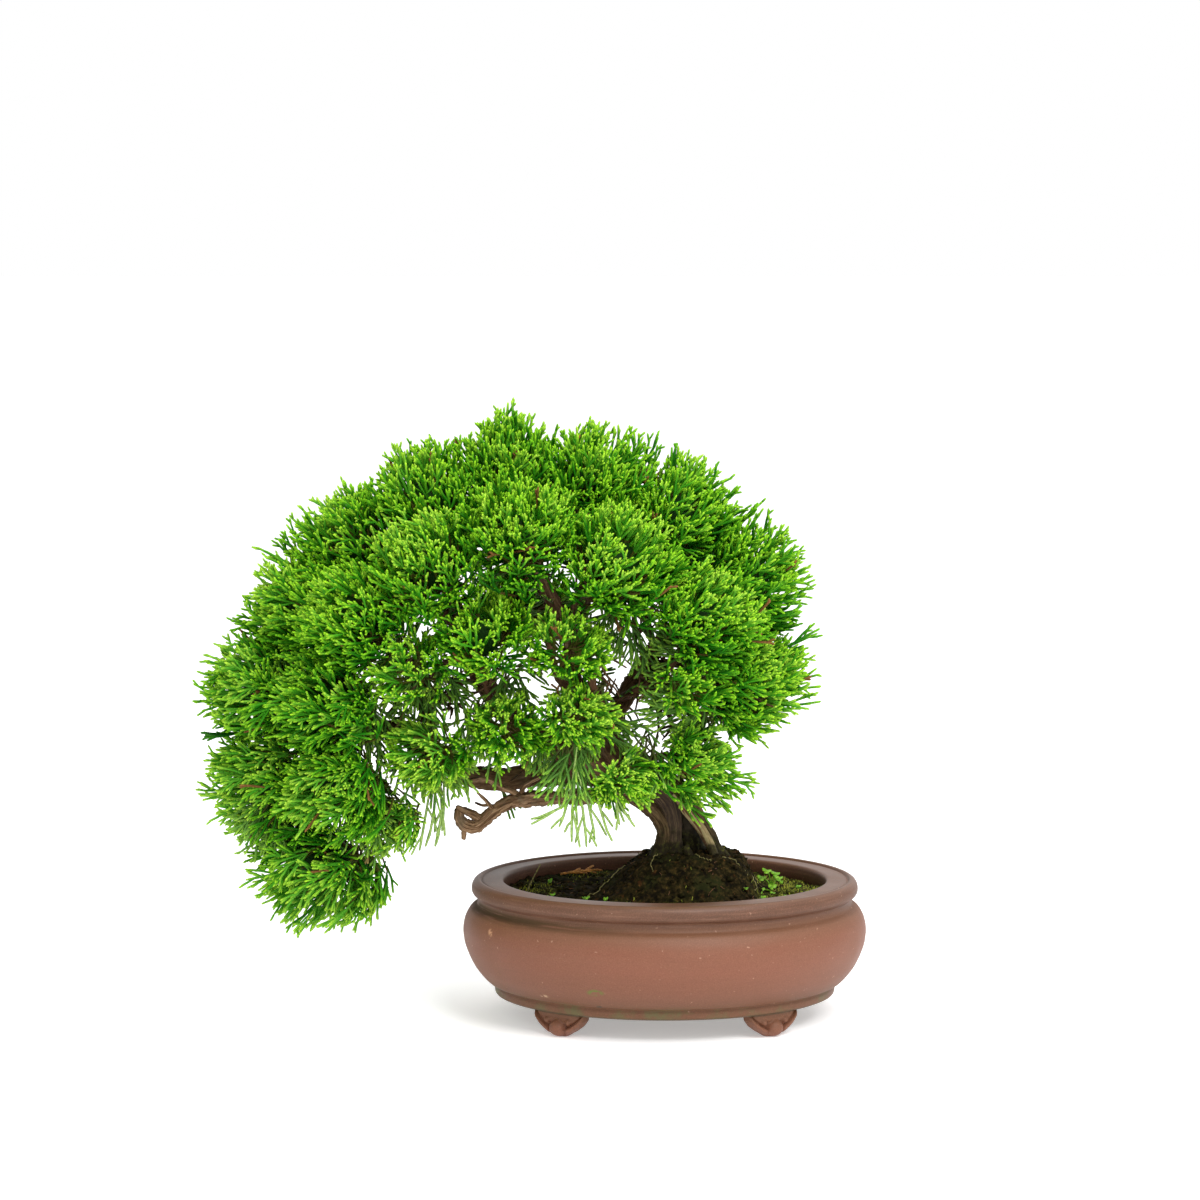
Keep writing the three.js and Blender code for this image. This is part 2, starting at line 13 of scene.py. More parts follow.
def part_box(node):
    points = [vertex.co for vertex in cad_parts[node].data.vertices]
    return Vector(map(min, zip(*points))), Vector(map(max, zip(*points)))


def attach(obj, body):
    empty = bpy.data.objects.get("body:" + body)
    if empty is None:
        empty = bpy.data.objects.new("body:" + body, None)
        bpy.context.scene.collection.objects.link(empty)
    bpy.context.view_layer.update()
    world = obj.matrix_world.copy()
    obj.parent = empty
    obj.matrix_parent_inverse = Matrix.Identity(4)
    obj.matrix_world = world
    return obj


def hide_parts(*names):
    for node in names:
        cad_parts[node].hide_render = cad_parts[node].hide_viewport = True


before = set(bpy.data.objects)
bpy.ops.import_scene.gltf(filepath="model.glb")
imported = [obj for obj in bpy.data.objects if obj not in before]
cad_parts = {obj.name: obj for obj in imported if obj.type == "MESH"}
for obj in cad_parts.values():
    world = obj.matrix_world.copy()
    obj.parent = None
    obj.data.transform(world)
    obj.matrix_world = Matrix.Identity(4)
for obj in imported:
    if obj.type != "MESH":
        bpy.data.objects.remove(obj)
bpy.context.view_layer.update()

MM = 0.001
pot_low, pot_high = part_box("pot")
POT_CENTRE = np.array([0.5 * (pot_low.x + pot_high.x), 0.5 * (pot_low.y + pot_high.y), 0.0]) / MM
draw = np.random.default_rng(11)

# Camera, at the photograph's viewing angle
CAMERA_PLACE = (-32.0, -1760.7, 408.2)
CAMERA_DOWN_DEGREES = 6.51
CAMERA_LENS_METRES = 0.1083
SENSOR_METRES = 0.036

# Pot: how far in from the belly's widest line, and height
POT_HALF_LENGTH = 99.8
POT_HEIGHT = 69.2
OVAL_INSET = 18.5
BASE_HEIGHT = 11.5
FLOOR_HEIGHT = 17.5
WALL_OUTSIDE = [
    (17.6, 11.5), (16.0, 12.3), (15.5, 13.6), (15.4, 15.6), (15.9, 16.7), (15.4, 17.3),
    (13.2, 17.9), (11.0, 19.6), (8.6, 22.2), (5.5, 26.4), (2.9, 31.6), (0.8, 37.4), (0.0, 43.2),
    (0.4, 47.4), (1.5, 51.0), (3.6, 54.4), (6.0, 56.0), (7.0, 56.8), (7.2, 58.8), (6.8, 60.6),
    (5.0, 61.8), (4.2, 63.6), (4.4, 66.0), (5.3, 67.8), (6.8, 68.9), (7.8, 69.1), (8.5, 68.9),
    (8.9, 67.7), (9.5, 67.7), (10.4, 68.4), (18.2, 68.6), (19.6, 68.1), (20.1, 66.8),
]
WALL_INSIDE = [(20.1, 60.2), (8.5, 49.0), (8.5, 35.0), (18.0, 19.6), (24.0, FLOOR_HEIGHT)]
DRAIN_HOLE_X = 38.0
DRAIN_HOLE_RADIUS = 8.0
FOOT_CENTRE = (50.0, 44.5)
FOOT_SIDE = [(3.4, 0.0), (5.6, 1.5), (7.6, 2.6), (11.5, 5.4), (14.0, 8.6), (14.8, 14.0)]
TOE_RADIUS = 4.3

# Soil
SOIL_LEVEL = 61.6
SOIL_INSET = 20.45
CRUMB_INSET = 23.0
MOUND_CENTRE = (18.0, -1.0)
MOUND_HEIGHT = 20.5
MOUND_REACH = {"left": 58.0, "right": 32.0, "front": 44.0, "back": 44.0}
MOUND_TOP_SHARE = 0.42
MOUND_EXTRA_TO_RIGHT = 0.2
MOUND_FALL_TO_RIGHT = 0.09
PALE_ROOTS = [
    [(-3, -11), (-5, -14), (-7, -19), (-6, -23)], [(15, -12), (17, -16), (18, -19), (22, -22)],
    [(-20, 1), (-27, -3), (-33, -9), (-38, -13)], [(28, -14), (34, -17), (41, -15)],
    [(43, -8), (45, -12), (44, -17)], [(34, 6), (42, 8), (49, 4), (55, 1)],
]
SEEDLINGS = [(-39, -19), (-56, -19), (-30, -29), (-58, 17), (60, -18), (39, -25), (53, -9), (66, 2), (58, 20),
             (48, -22)]
LEANING_STEM = [(-69, -1, 60, 0.45), (-66, -1, 67, 0.4), (-61.5, 0, 75.5, 0.3)]
MOSSY_SPOTS = [
    (66, 22, 26, 1.0), (60, -28, 20, 0.8), (70, -2, 24, 1.0), (56, -14, 18, 0.8), (-30, -48, 26, 0.75),
    (-62, 8, 18, 0.7), (6, -58, 26, 0.6), (-38, 44, 22, 0.6), (40, 40, 22, 0.8), (-8, 16, 15, 0.5),
]
CLOD_COUNT = 900
MOSS_BLADES = 1500
LITTER_STICKS = 60
WEED_FOOT = (53.0, 3.0)
WEED_STEMS = [(-5, -4, 9), (-3, -6, 13), (2, -3, 11), (-6, -9, 4), (4, 1, 8), (0, -8, 5)]
LEAF_CORNERS = 14
SPRIG_LINE = [(-52, 38), (-43, 43), (-34, 48)]
SPRIG_LIFT = 1.6

# Wood: points from the trunk outward, each with its radius
TRUNK_STRANDS = {
    "left": [(-5, -6, 72, 6.0), (-1, -8, 88, 3.9), (-1, -8, 96, 3.7), (-7, -7.5, 104.5, 3.9),
             (-18, -6, 113, 4.6), (-30, -4, 122, 6.5)],
    "front": [(6, -5, 70, 7.0), (4.5, -7, 87, 4.2), (4, -7, 98, 4.5), (1, -6, 108, 5.2), (-10, -4, 118, 6.8),
              (-24, -3, 126, 8.5)],
    "right": [(27, -3, 72, 5.0), (23.5, -4, 88, 3.3), (19.5, -4, 95.7, 3.0), (14.5, -3.5, 104, 3.4),
              (6, -1, 113, 4.8), (-16, 0, 127, 7.5)],
    "back": [(13, 6, 72, 10), (11, 5, 87, 8.2), (6, 5, 100, 7.2), (-6, 4, 114, 8), (-24, 2, 128, 8)],
    "pale strip": [(25, -9.5, 80, 2.0), (21.9, -9.5, 87.8, 2.3), (16.5, -9.4, 96.7, 2.4),
                   (9.8, -9.2, 105, 2.1), (4, -8, 112, 1.4)],
}
# Tints of the strands' bark. The back strand's negative tint is painted shade, for its place in the hollow
# behind the others.
STRAND_TINTS_AND_SHADE = {"left": 0.75, "front": 0.0, "right": 0.2, "back": -0.5, "pale strip": 1.5}
LIVE_LIMBS = [
    [(-14, -2, 120, 9), (-25, -1, 129, 9), (-32, 0, 140, 7.5), (-36, 2, 152, 6.5)],
    [(-30, 0, 134, 6), (-24, 3, 152, 5), (-13, 6, 169, 4.2), (-1, 6, 187, 3.6), (16, 4, 202, 3),
     (36, 2, 212, 2.4)],
    [(-15, 5, 165, 3.4), (4, 0, 164, 2.8), (28, -6, 165, 2.2)],
    [(-34, 1, 148, 6.5), (-46, 2, 166, 5.6), (-44, 4, 190, 4.8), (-38, 6, 215, 3.8), (-33, 6, 240, 2.6)],
    [(-39, 6, 211, 3.4), (-14, 8, 225, 3), (4, 6, 236, 2.2)],
    [(-44, 4, 188, 4), (-58, 8, 211, 3.5), (-68, 10, 235, 3), (-77, 10, 262, 2.2)],
    [(-45, 4, 182, 4), (-51, 28, 194, 3.4), (-58, 52, 204, 2.6)],
    [(-27, -3, 127, 7), (-52, -2, 133, 6), (-74, 0, 147, 5.6), (-88, 2, 164, 5),
     (-96, 2, 181, 4.6), (-103, 2, 200, 4), (-107, 2, 219, 3.2), (-106, 4, 239, 2.3)],
    [(-102, 2, 197, 3.6), (-124, 2, 206, 3), (-144, 2, 213, 2.4)],
    [(-14, -2, 120, 7), (-42, -2, 122.5, 6.2), (-64, 0, 121, 5.8), (-86, 2, 118, 5.6),
     (-106, 3, 124, 5.2), (-120, 4, 136, 5), (-140, 4, 143, 4.4), (-158, 7, 141, 3.8),
     (-170, 11, 130, 3.2), (-172, 10, 116, 2.6), (-174, 3, 101, 2)],
    [(-116, 3, 132, 4.2), (-118, 3, 156, 4), (-128, 6, 174, 3.4), (-146, 10, 187, 2.8),
     (-166, 8, 190, 2.2)],
]
DEAD_BRANCH = [
    (-8, -7, 111, 4.2), (-22, -12, 113, 3.8), (-34.4, -15, 112, 3.4), (-41.8, -16, 111.6, 3.2),
    (-49.1, -16, 112.1, 3.0), (-57.7, -17, 111.6, 3.2), (-63.8, -17, 111.8, 3.8), (-69.3, -17, 111.3, 3.6),
    (-74.8, -17, 110.3, 3.0), (-79.7, -17, 108, 3.0), (-84.6, -17, 104.3, 3.1), (-88.3, -17, 100.6, 2.9),
    (-92, -17, 97.7, 3.2), (-95.1, -17, 97.5, 3.0), (-98.7, -17, 98.9, 3.1), (-100.8, -17, 102, 2.6),
    (-101.1, -17, 106.4, 1.7),
]
DEAD_TWIGS = [
    [(-89, -17, 100.5, 2.3), (-94.4, -17, 103.5, 2.0), (-98.7, -17, 105.5, 1.8), (-102, -17.5, 107.5, 1.1)],
    [(-98, -17, 99, 1.6), (-98.4, -17, 95.9, 1.3), (-98.6, -17, 91.3, 0.9)],
    [(-71, -17, 112, 2.0), (-75, -17.5, 115, 1.6), (-81.5, -18, 117.5, 1.4), (-85.2, -19, 120.6, 1.3),
     (-90.7, -20, 121.6, 1.5), (-96.8, -20.5, 120.4, 1.3), (-103, -21, 121.6, 0.9)],
    [(-71, -17.5, 112.5, 1.4), (-69.5, -18, 117, 1.2), (-66, -19, 120, 1.0), (-61, -20, 122.5, 0.7)],
    [(-83.5, -18, 105.5, 1.2), (-87.1, -19, 110.1, 0.9), (-89, -19.5, 112.2, 0.8), (-92, -20, 115, 0.5)],
    [(-86, -18.5, 108.6, 0.9), (-89.5, -19, 108.4, 0.7), (-93, -19.5, 109.8, 0.5)],
]
SURFACE_ROOTS = [
    [(-2, -7, 89, 2.6), (-5, -10, 83.5, 1.7), (-8, -13, 77, 1.2), (-9, -15, 70, 1.0)],
    [(10, -9, 86, 2.2), (13, -12, 81.5, 1.7), (18, -17, 77, 1.2), (22, -21, 70, 1.0)],
    [(24, -3, 87, 2.0), (29, -3, 82, 1.5), (34, -1, 77, 1.0)],
    [(12, 11, 89, 3), (10, 17, 83, 2.4), (5, 22, 77, 1.8), (2, 25, 70, 1.4)],
]

# Bare limbs inside the crown, among the thin foliage at its front
SIDE_LIMBS = [
    [(-12, 4, 168, 2.6), (2, -6, 176, 2.1), (16, -12, 184, 1.7), (30, -18, 190, 1.1)],
    [(0, 6, 188, 2.2), (8, -4, 196, 1.8), (20, -10, 206, 1.4), (26, -14, 218, 0.9)],
    [(-3, 5, 180, 2.0), (-8, -10, 192, 1.6), (-12, -18, 207, 1.1)],
    [(4, 2, 178, 2.0), (14, -10, 172, 1.6), (27, -16, 165, 1.2), (38, -18, 160, 0.8)],
    [(-22, 3, 158, 2.4), (-12, -14, 166, 2.0), (0, -22, 174, 1.5), (8, -26, 186, 1.0)],
    [(-38, 2, 156, 3.0), (-50, -14, 168, 2.4), (-56, -22, 184, 1.8), (-54, -26, 200, 1.2)],
    [(-34, 2, 146, 3.2), (-30, -14, 156, 2.6), (-36, -24, 170, 2.0), (-30, -30, 184, 1.3)],
    [(-96, 2, 181, 2.6), (-108, -10, 176, 2.0), (-118, -18, 168, 1.3)],
    [(-118, 3, 156, 2.6), (-108, -12, 160, 2.0), (-99, -20, 169, 1.3)],
    [(-76, 0, 148, 3.0), (-84, -16, 158, 2.2), (-88, -26, 172, 1.4)],
    [(-12, 4, 172, 1.5), (0, -8, 166, 1.1), (11, -14, 157, 0.6)],
    [(-12, 4, 170, 1.4), (-3, -8, 158, 1.0), (4, -12, 147, 0.6)],
    [(-10, 5, 176, 1.5), (6, -7, 177, 1.1), (19, -12, 175, 0.6)],
]

LIMB_TWIGS = 90
FRONT_TWIGS = 130

# Green twigs that hang below the crown: foot, middle and tip
HANGING_TWIGS = [
    [(-43, -50, 142), (-46, -50, 120), (-52, -52, 103)],
    [(-45, -50, 121), (-52, -51, 112), (-66, -53, 107.5)],
    [(-44, -50, 124), (-45.5, -51, 110), (-45.5, -51, 95.5)],
    [(-43.5, -50, 127), (-40, -49, 110), (-38.5, -49, 92.5)],
    [(-43, -50, 130), (-37, -49, 112), (-34.5, -48, 96)],
    [(-34, -49, 128), (-32, -50, 112), (-27, -50, 98)],
    [(-24, -48, 120), (-24, -49, 112), (-22.5, -49, 104)],
    [(-24, -48, 117), (-20, -49, 110), (-17, -49, 106)],
    [(-114, -26, 122), (-117, -27, 104), (-120, -28, 87)],
    [(-112, -26, 122), (-113, -27, 105), (-116, -28, 92)],
    [(-110, -26, 122), (-109, -27, 106), (-112, -28, 90)],
    [(-108, -26, 122), (-108, -27, 108), (-109, -28, 97)],
]

# Loose fans in front of the limbs: where each bunch starts, and its tips
FRONT_FANS = [
    ((28, -14, 176), [(-14, -26, 172), (-8, -30, 182), (-2, -28, 190), (6, -30, 197), (-12, -27, 162),
        (0, -30, 158), (9, -28, 150), (12, -34, 168), (4, -34, 176)]),
    ((22, -16, 152), [(-9, -28, 152), (-4, -30, 144), (3, -28, 160), (-14, -28, 160), (-2, -26, 167),
        (10, -28, 146), (14, -28, 158), (5, -30, 137), (16, -28, 140)]),
    ((-30, -18, 170), [(-46, -32, 150), (-50, -34, 141), (-42, -34, 134), (-56, -32, 160),
        (-38, -34, 146), (-36, -36, 129)]),
    ((-36, -16, 150), [(-14, -28, 147), (-10, -28, 140), (-18, -28, 138)]),
    ((-18, -14, 207), [(-28, -30, 183), (-16, -30, 178), (-8, -28, 171), (-36, -30, 190), (2, -26, 186)]),
    ((-112, -14, 178), [(-104, -28, 170), (-100, -28, 160), (-95, -28, 150), (-112, -30, 158)]),
    ((-120, -14, 185), [(-132, -26, 165), (-124, -28, 158), (-116, -28, 150), (-128, -28, 145),
        (-110, -26, 140), (-134, -26, 178), (-136, -28, 152)]),
    ((-150, -16, 165), [(-146, -28, 151), (-140, -28, 142), (-135, -28, 134), (-143, -28, 131),
        (-138, -28, 124), (-148, -28, 137), (-132, -28, 126)]),
    ((-128, -14, 190), [(-142, -28, 176), (-138, -28, 170), (-144, -28, 163), (-133, -28, 161),
        (-139, -28, 157)]),
    ((-148, -14, 110), [(-139, -28, 104), (-134, -28, 98), (-139, -28, 92), (-131, -28, 90),
        (-142, -28, 84), (-136, -26, 81), (-145, -30, 96)]),
    ((-190, -8, 112), [(-209, -14, 98), (-205, -16, 93), (-199, -18, 90), (-208, -12, 89),
        (-196, -18, 86), (-212, -10, 102), (-203, -14, 84)]),
    ((-160, -14, 112), [(-150, -28, 101), (-146, -28, 95), (-153, -28, 92), (-157, -28, 103),
        (-143, -26, 89)]),
    ((-128, -16, 150), [(-112, -28, 121), (-104, -28, 117), (-99, -28, 110), (-108, -28, 106),
        (-118, -28, 112), (-96, -26, 119), (-90, -26, 113), (-124, -28, 118), (-101, -28, 124),
        (-114, -28, 129)]),
    ((-90, -14, 160), [(-100, -28, 138), (-94, -28, 131), (-88, -28, 127), (-103, -28, 130),
        (-80, -28, 128)]),
    ((-76, -12, 174), [(-84, -26, 161), (-91, -28, 152), (-70, -30, 158), (-64, -30, 149),
        (-60, -26, 175), (-78, -34, 146)]),
    ((-66, -16, 152), [(-72, -26, 131), (-64, -26, 127), (-57, -26, 129), (-60, -28, 136)]),
    ((-45, -38, 150), [(-62, -50, 119), (-54, -52, 122), (-50, -53, 112), (-40, -52, 115),
        (-35, -50, 126)]),
    ((-8, -24, 142), [(-22, -42, 118), (-12, -44, 112), (-4, -42, 116), (3, -40, 120), (-18, -44, 128)]),
]

# Foliage
CROWN_HEART = np.array([-75.0, 0.0, 150.0])
OUTER_TIPS = np.array([
    (-77, 4, 304), (-79, 6, 302), (-75, 1, 301), (-70, 4, 297), (-85, 5, 296), (-66, 2, 293),
    (-62, 0, 291), (-80, -2, 301), (-73, 0, 300), (-82, 3, 298), (-75, -4, 300), (-69, -2, 297),
    (-88, 0, 293), (-79, 0, 295), (-161, 0, 265), (-154, -6, 268), (-142, 4, 273), (-133, -3, 277),
    (-186, 0, 245), (-180, 4, 250), (-183, -3, 246), (-189, 2, 238), (-193, 0, 231), (-202, 0, 227),
    (-196, -4, 232), (-191, 3, 239), (-15, 0, 291), (-10, -4, 289), (-4, 4, 287), (3, -2, 285),
    (11, 3, 282), (20, -3, 277), (16, 2, 280), (27, -2, 273), (33, 2, 269), (39, -2, 264), (47, 0, 257),
    (54, 3, 251), (59, -2, 246), (62, 1, 240), (-213, 0, 197), (-210, -4, 189), (-224, 0, 147),
    (-228, -3, 140), (-222, 3, 134), (-226, 0, 127), (-221, 0, 107), (-217, -3, 100), (-208, 0, 87),
    (-211, -4, 93), (-205, -3, 80), (-201, 2, 72), (-196, 0, 66), (70, 0, 199), (75, -2, 191),
    (72, 2, 183), (76, 0, 174), (74, -3, 167), (76, 0, 161), (70, 3, 176), (65, 0, 195), (68, -6, 188),
    (63, 4, 180), (66, -8, 172), (61, -10, 190), (65, -10, 165), (59, -14, 180), (67, 5, 193),
    (69, -4, 180), (71, -6, 171), (62, -4, 200), (66, 2, 184), (70, 5, 165), (40, -28, 112),
    (35, -26, 104), (44, -24, 118), (24, -30, 102), (31, -30, 108), (37, -32, 122), (18, -34, 110),
], float)
CORD_RADIUS = 0.66
MAIN_SIDES = 4
TWIG_SIDES = 4
NUB_SIDES = 3
LONGEST_CORD = 34.0
TWIGS_PER_CORD = 4
CORE_SIZE = 0.62
SMALL_MASS = 26.0
LOW_MASS = 165.0
EXTRA_TIPS = {"small": 0.15, "low": 0.3, "high": 0.72}
WITHERED_SPRAYS = 0.001
DRY_SIDE_CORDS = 0.008
FAN_TONE = 0.64
SHADED_TONE = 0.5
HANGING_TONE = 0.9
INNER_SPRAY_COUNT = 160


# Arrays of vectors
def unit(vectors):
    return vectors / np.maximum(np.linalg.norm(vectors, axis=-1, keepdims=True), 1e-9)


def scaled(vectors, lengths):
    return vectors * np.asarray(lengths)[..., None]


def round_angles(count):
    return np.arange(count) * 2 * math.pi / count


# Meshes
def add_piece(name, points, faces, material, slot, replaced=(), corner_uv=None, uv_name="UVMap",
              point_values=None):
    """A piece from points in millimetres and triangles, riding on the object's only body."""
    mesh = bpy.data.meshes.new(name)
    mesh.vertices.add(len(points))
    mesh.vertices.foreach_set("co", ((points + POT_CENTRE) * MM).astype(np.float32).ravel())
    mesh.loops.add(faces.size)
    mesh.loops.foreach_set("vertex_index", faces.astype(np.int32).ravel())
    mesh.polygons.add(len(faces))
    mesh.polygons.foreach_set("loop_start", np.arange(0, faces.size, 3, dtype=np.int32))
    mesh.polygons.foreach_set("use_smooth", np.full(len(faces), True))
    if corner_uv is not None:
        layer = mesh.uv_layers.new(name=uv_name)
        layer.data.foreach_set("uv", corner_uv.astype(np.float32).ravel())
    for value_name, values in (point_values or {}).items():
        attribute = mesh.attributes.new(value_name, "FLOAT", "POINT")
        attribute.data.foreach_set("value", values.astype(np.float32))
    mesh.update(calc_edges=True)
    mesh.materials.append(material)
    piece = bpy.data.objects.new(name, mesh)
    bpy.context.scene.collection.objects.link(piece)
    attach(piece, "root")
    if replaced:
        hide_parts(*replaced)
    return piece


def ring_frames(centres):
    """Tangents and two vectors across them, carried along each line of centres without twist."""
    tangents = unit(np.gradient(centres, axis=1))
    across = np.empty_like(tangents)
    helper = np.where(np.abs(tangents[:, :1, 2:]) > 0.9, [1.0, 0.0, 0.0], [0.0, 0.0, 1.0])
    across[:, 0] = unit(np.cross(tangents[:, 0], helper[:, 0]))
    for ring in range(1, centres.shape[1]):
        before, here = across[:, ring - 1], tangents[:, ring]
        across[:, ring] = unit(before - scaled(here, np.sum(before * here, axis=-1)))
    return tangents, across, np.cross(tangents, across)


def tubes(centres, radii, sides, blunt=0.6, relief=None):
    """Round rods along lines of centres: all their points and triangles.

    centres is (rods, rings, 3) and radii (rods, rings). relief, of the same shape with the sides
    added, multiplies the radius. Each rod starts open and ends in a rounded point.
    """
    rods, rings = radii.shape
    tangents, across, upward = ring_frames(centres)
    angles = round_angles(sides)
    reach = radii[:, :, None] * (np.ones(sides) if relief is None else relief)
    skin = (centres[:, :, None]
            + scaled(across[:, :, None], reach * np.cos(angles))
            + scaled(upward[:, :, None], reach * np.sin(angles)))
    tips = centres[:, -1] + scaled(tangents[:, -1], blunt * radii[:, -1])
    points = np.concatenate([skin.reshape(rods, -1, 3), tips[:, None]], axis=1)
    one_rod = []
    for ring in range(rings - 1):
        for side in range(sides):
            a, b = ring * sides + side, ring * sides + (side + 1) % sides
            one_rod += [(a, b, b + sides), (a, b + sides, a + sides)]
    last = (rings - 1) * sides
    one_rod += [(last + side, last + (side + 1) % sides, rings * sides) for side in range(sides)]
    one_rod = np.array(one_rod)
    per_rod = rings * sides + 1
    faces = one_rod[None] + (np.arange(rods) * per_rod)[:, None, None]
    return points.reshape(-1, 3), faces.reshape(-1, 3)


def merged(parts):
    """Joins (points, faces, *values per point) parts into one."""
    shift, points, faces, values = 0, [], [], []
    for part in parts:
        points.append(part[0])
        faces.append(part[1] + shift)
        values.append(part[2:])
        shift += len(part[0])
    columns = [np.concatenate(column) for column in zip(*values)]
    return (np.concatenate(points), np.concatenate(faces), *columns)


def smooth_line(points, rings):
    """Evenly spaced places and radii on a smooth curve through the given points."""
    points = np.array(points, float)
    padded = np.vstack([2 * points[0] - points[1], points, 2 * points[-1] - points[-2]])
    dense = []
    for i in range(len(points) - 1):
        before, start, end, after = padded[i:i + 4]
        share = np.linspace(0, 1, 24, endpoint=i == len(points) - 2)[:, None]
        dense.append(0.5 * (2 * start + (end - before) * share
                            + (2 * before - 5 * start + 4 * end - after) * share ** 2
                            + (3 * start - before - 3 * end + after) * share ** 3))
    dense = np.vstack(dense)
    along = np.concatenate([[0], np.cumsum(np.linalg.norm(np.diff(dense[:, :3], axis=0), axis=1))])
    even = np.linspace(0, along[-1], rings)
    placed = np.column_stack([np.interp(even, along, dense[:, i]) for i in range(dense.shape[1])])
    return placed[:, :3], placed[:, 3], along[-1]


def rod(centres, radii, sides):
    """One round rod along a single line of centres."""
    return tubes(centres[None], radii[None], sides)


# Shader nodes
def feed(tree, socket, value):
    """Links an input to another node's socket, or sets its value."""
    if isinstance(value, bpy.types.NodeSocket):
        tree.links.new(value, socket)
    else:
        socket.default_value = value


def node(tree, kind, inputs=None, **settings):
    """A shader node. An input given as another node's socket is linked."""
    made = tree.nodes.new(kind)
    for setting, value in settings.items():
        setattr(made, setting, value)
    for key, value in (inputs or {}).items():
        feed(tree, made.inputs[key], value)
    return made


def noise_value(tree, vector, scale, detail=4.0, roughness=0.55, distortion=0.0):
    inputs = {"Vector": vector, "Scale": scale, "Detail": detail, "Roughness": roughness,
              "Distortion": distortion}
    return node(tree, "ShaderNodeTexNoise", inputs).outputs["Fac"]


def maths(tree, operation, a, b=0.0, clamp=False):
    return node(tree, "ShaderNodeMath", {0: a, 1: b}, operation=operation, use_clamp=clamp).outputs[0]


def product(tree, a, b):
    return maths(tree, "MULTIPLY", a, b)


def between(tree, value, low, high, to_low=0.0, to_high=1.0):
    """Rises smoothly from to_low to to_high while the value goes from low to high."""
    inputs = {"Value": value, "From Min": low, "From Max": high, "To Min": to_low, "To Max": to_high}
    return node(tree, "ShaderNodeMapRange", inputs, interpolation_type="SMOOTHSTEP").outputs[0]


def blend_colours(tree, share, first, second):
    made = node(tree, "ShaderNodeMix", {0: share}, data_type="RGBA")
    for key, colour in ((6, first), (7, second)):
        is_plain = not isinstance(colour, bpy.types.NodeSocket)
        feed(tree, made.inputs[key], (*colour, 1.0) if is_plain else colour)
    return made.outputs[2]


def painted(tree, colour, paint, value, low, high, most=1.0):
    """The colour under paint that covers up to the share most, as the value goes from low to high."""
    return blend_colours(tree, between(tree, value, low, high, 0.0, most), colour, paint)


def along_axis(tree, place, axis):
    return node(tree, "ShaderNodeSeparateXYZ", {0: place}).outputs[axis]


def colour_steps(tree, value, steps):
    made = node(tree, "ShaderNodeValToRGB", {"Fac": value})
    elements = made.color_ramp.elements
    while len(elements) < len(steps):
        elements.new(0.5)
    for element, (place, colour) in zip(elements, steps):
        element.position = place
        element.color = (*colour, 1.0)
    return made.outputs["Color"]


def stretched(tree, vector, scale):
    return node(tree, "ShaderNodeMapping", {"Vector": vector, "Scale": scale}).outputs["Vector"]


def bump(tree, height, strength, distance):
    inputs = {"Height": height, "Strength": strength, "Distance": distance}
    return node(tree, "ShaderNodeBump", inputs).outputs["Normal"]


def new_material(name):
    """An empty node material with its tree, its Principled shader and object coordinates."""
    material = bpy.data.materials.new(name)
    material.use_nodes = True
    tree = material.node_tree
    shader = tree.nodes["Principled BSDF"]
    place = node(tree, "ShaderNodeTexCoord").outputs["Object"]
    return material, tree, shader, place


def finish_material(tree, shader, colour, roughness, normal, specular=0.5):
    for key, value in (("Base Color", colour), ("Roughness", roughness), ("Normal", normal)):
        feed(tree, shader.inputs[key], value)
    shader.inputs["Specular IOR Level"].default_value = specular


def pot_point(x, y, z):
    """A place in the part's own frame, in metres, from millimetres at the pot's centre."""
    return tuple((np.array([x, y, z]) + POT_CENTRE) * MM)


def near_spot(tree, place, spot, radius_x, radius_z):
    """1 at a spot on the pot's outside, fading to 0 at the given distances."""
    away = node(tree, "ShaderNodeVectorMath", {0: place, 1: spot}, operation="SUBTRACT").outputs[0]
    squeezed = stretched(tree, away, (1 / radius_x, 1 / (8 * MM), 1 / radius_z))
    length = node(tree, "ShaderNodeVectorMath", {0: squeezed}, operation="LENGTH").outputs["Value"]
    return between(tree, length, 1.0, 0.35)


# Materials
def band(tree, height, lower, upper):
    """1 in a band of heights, fading out over two spans in millimetres below and above it."""
    rising = between(tree, height, lower[0] * MM, lower[1] * MM)
    return product(tree, rising, between(tree, height, upper[0] * MM, upper[1] * MM))


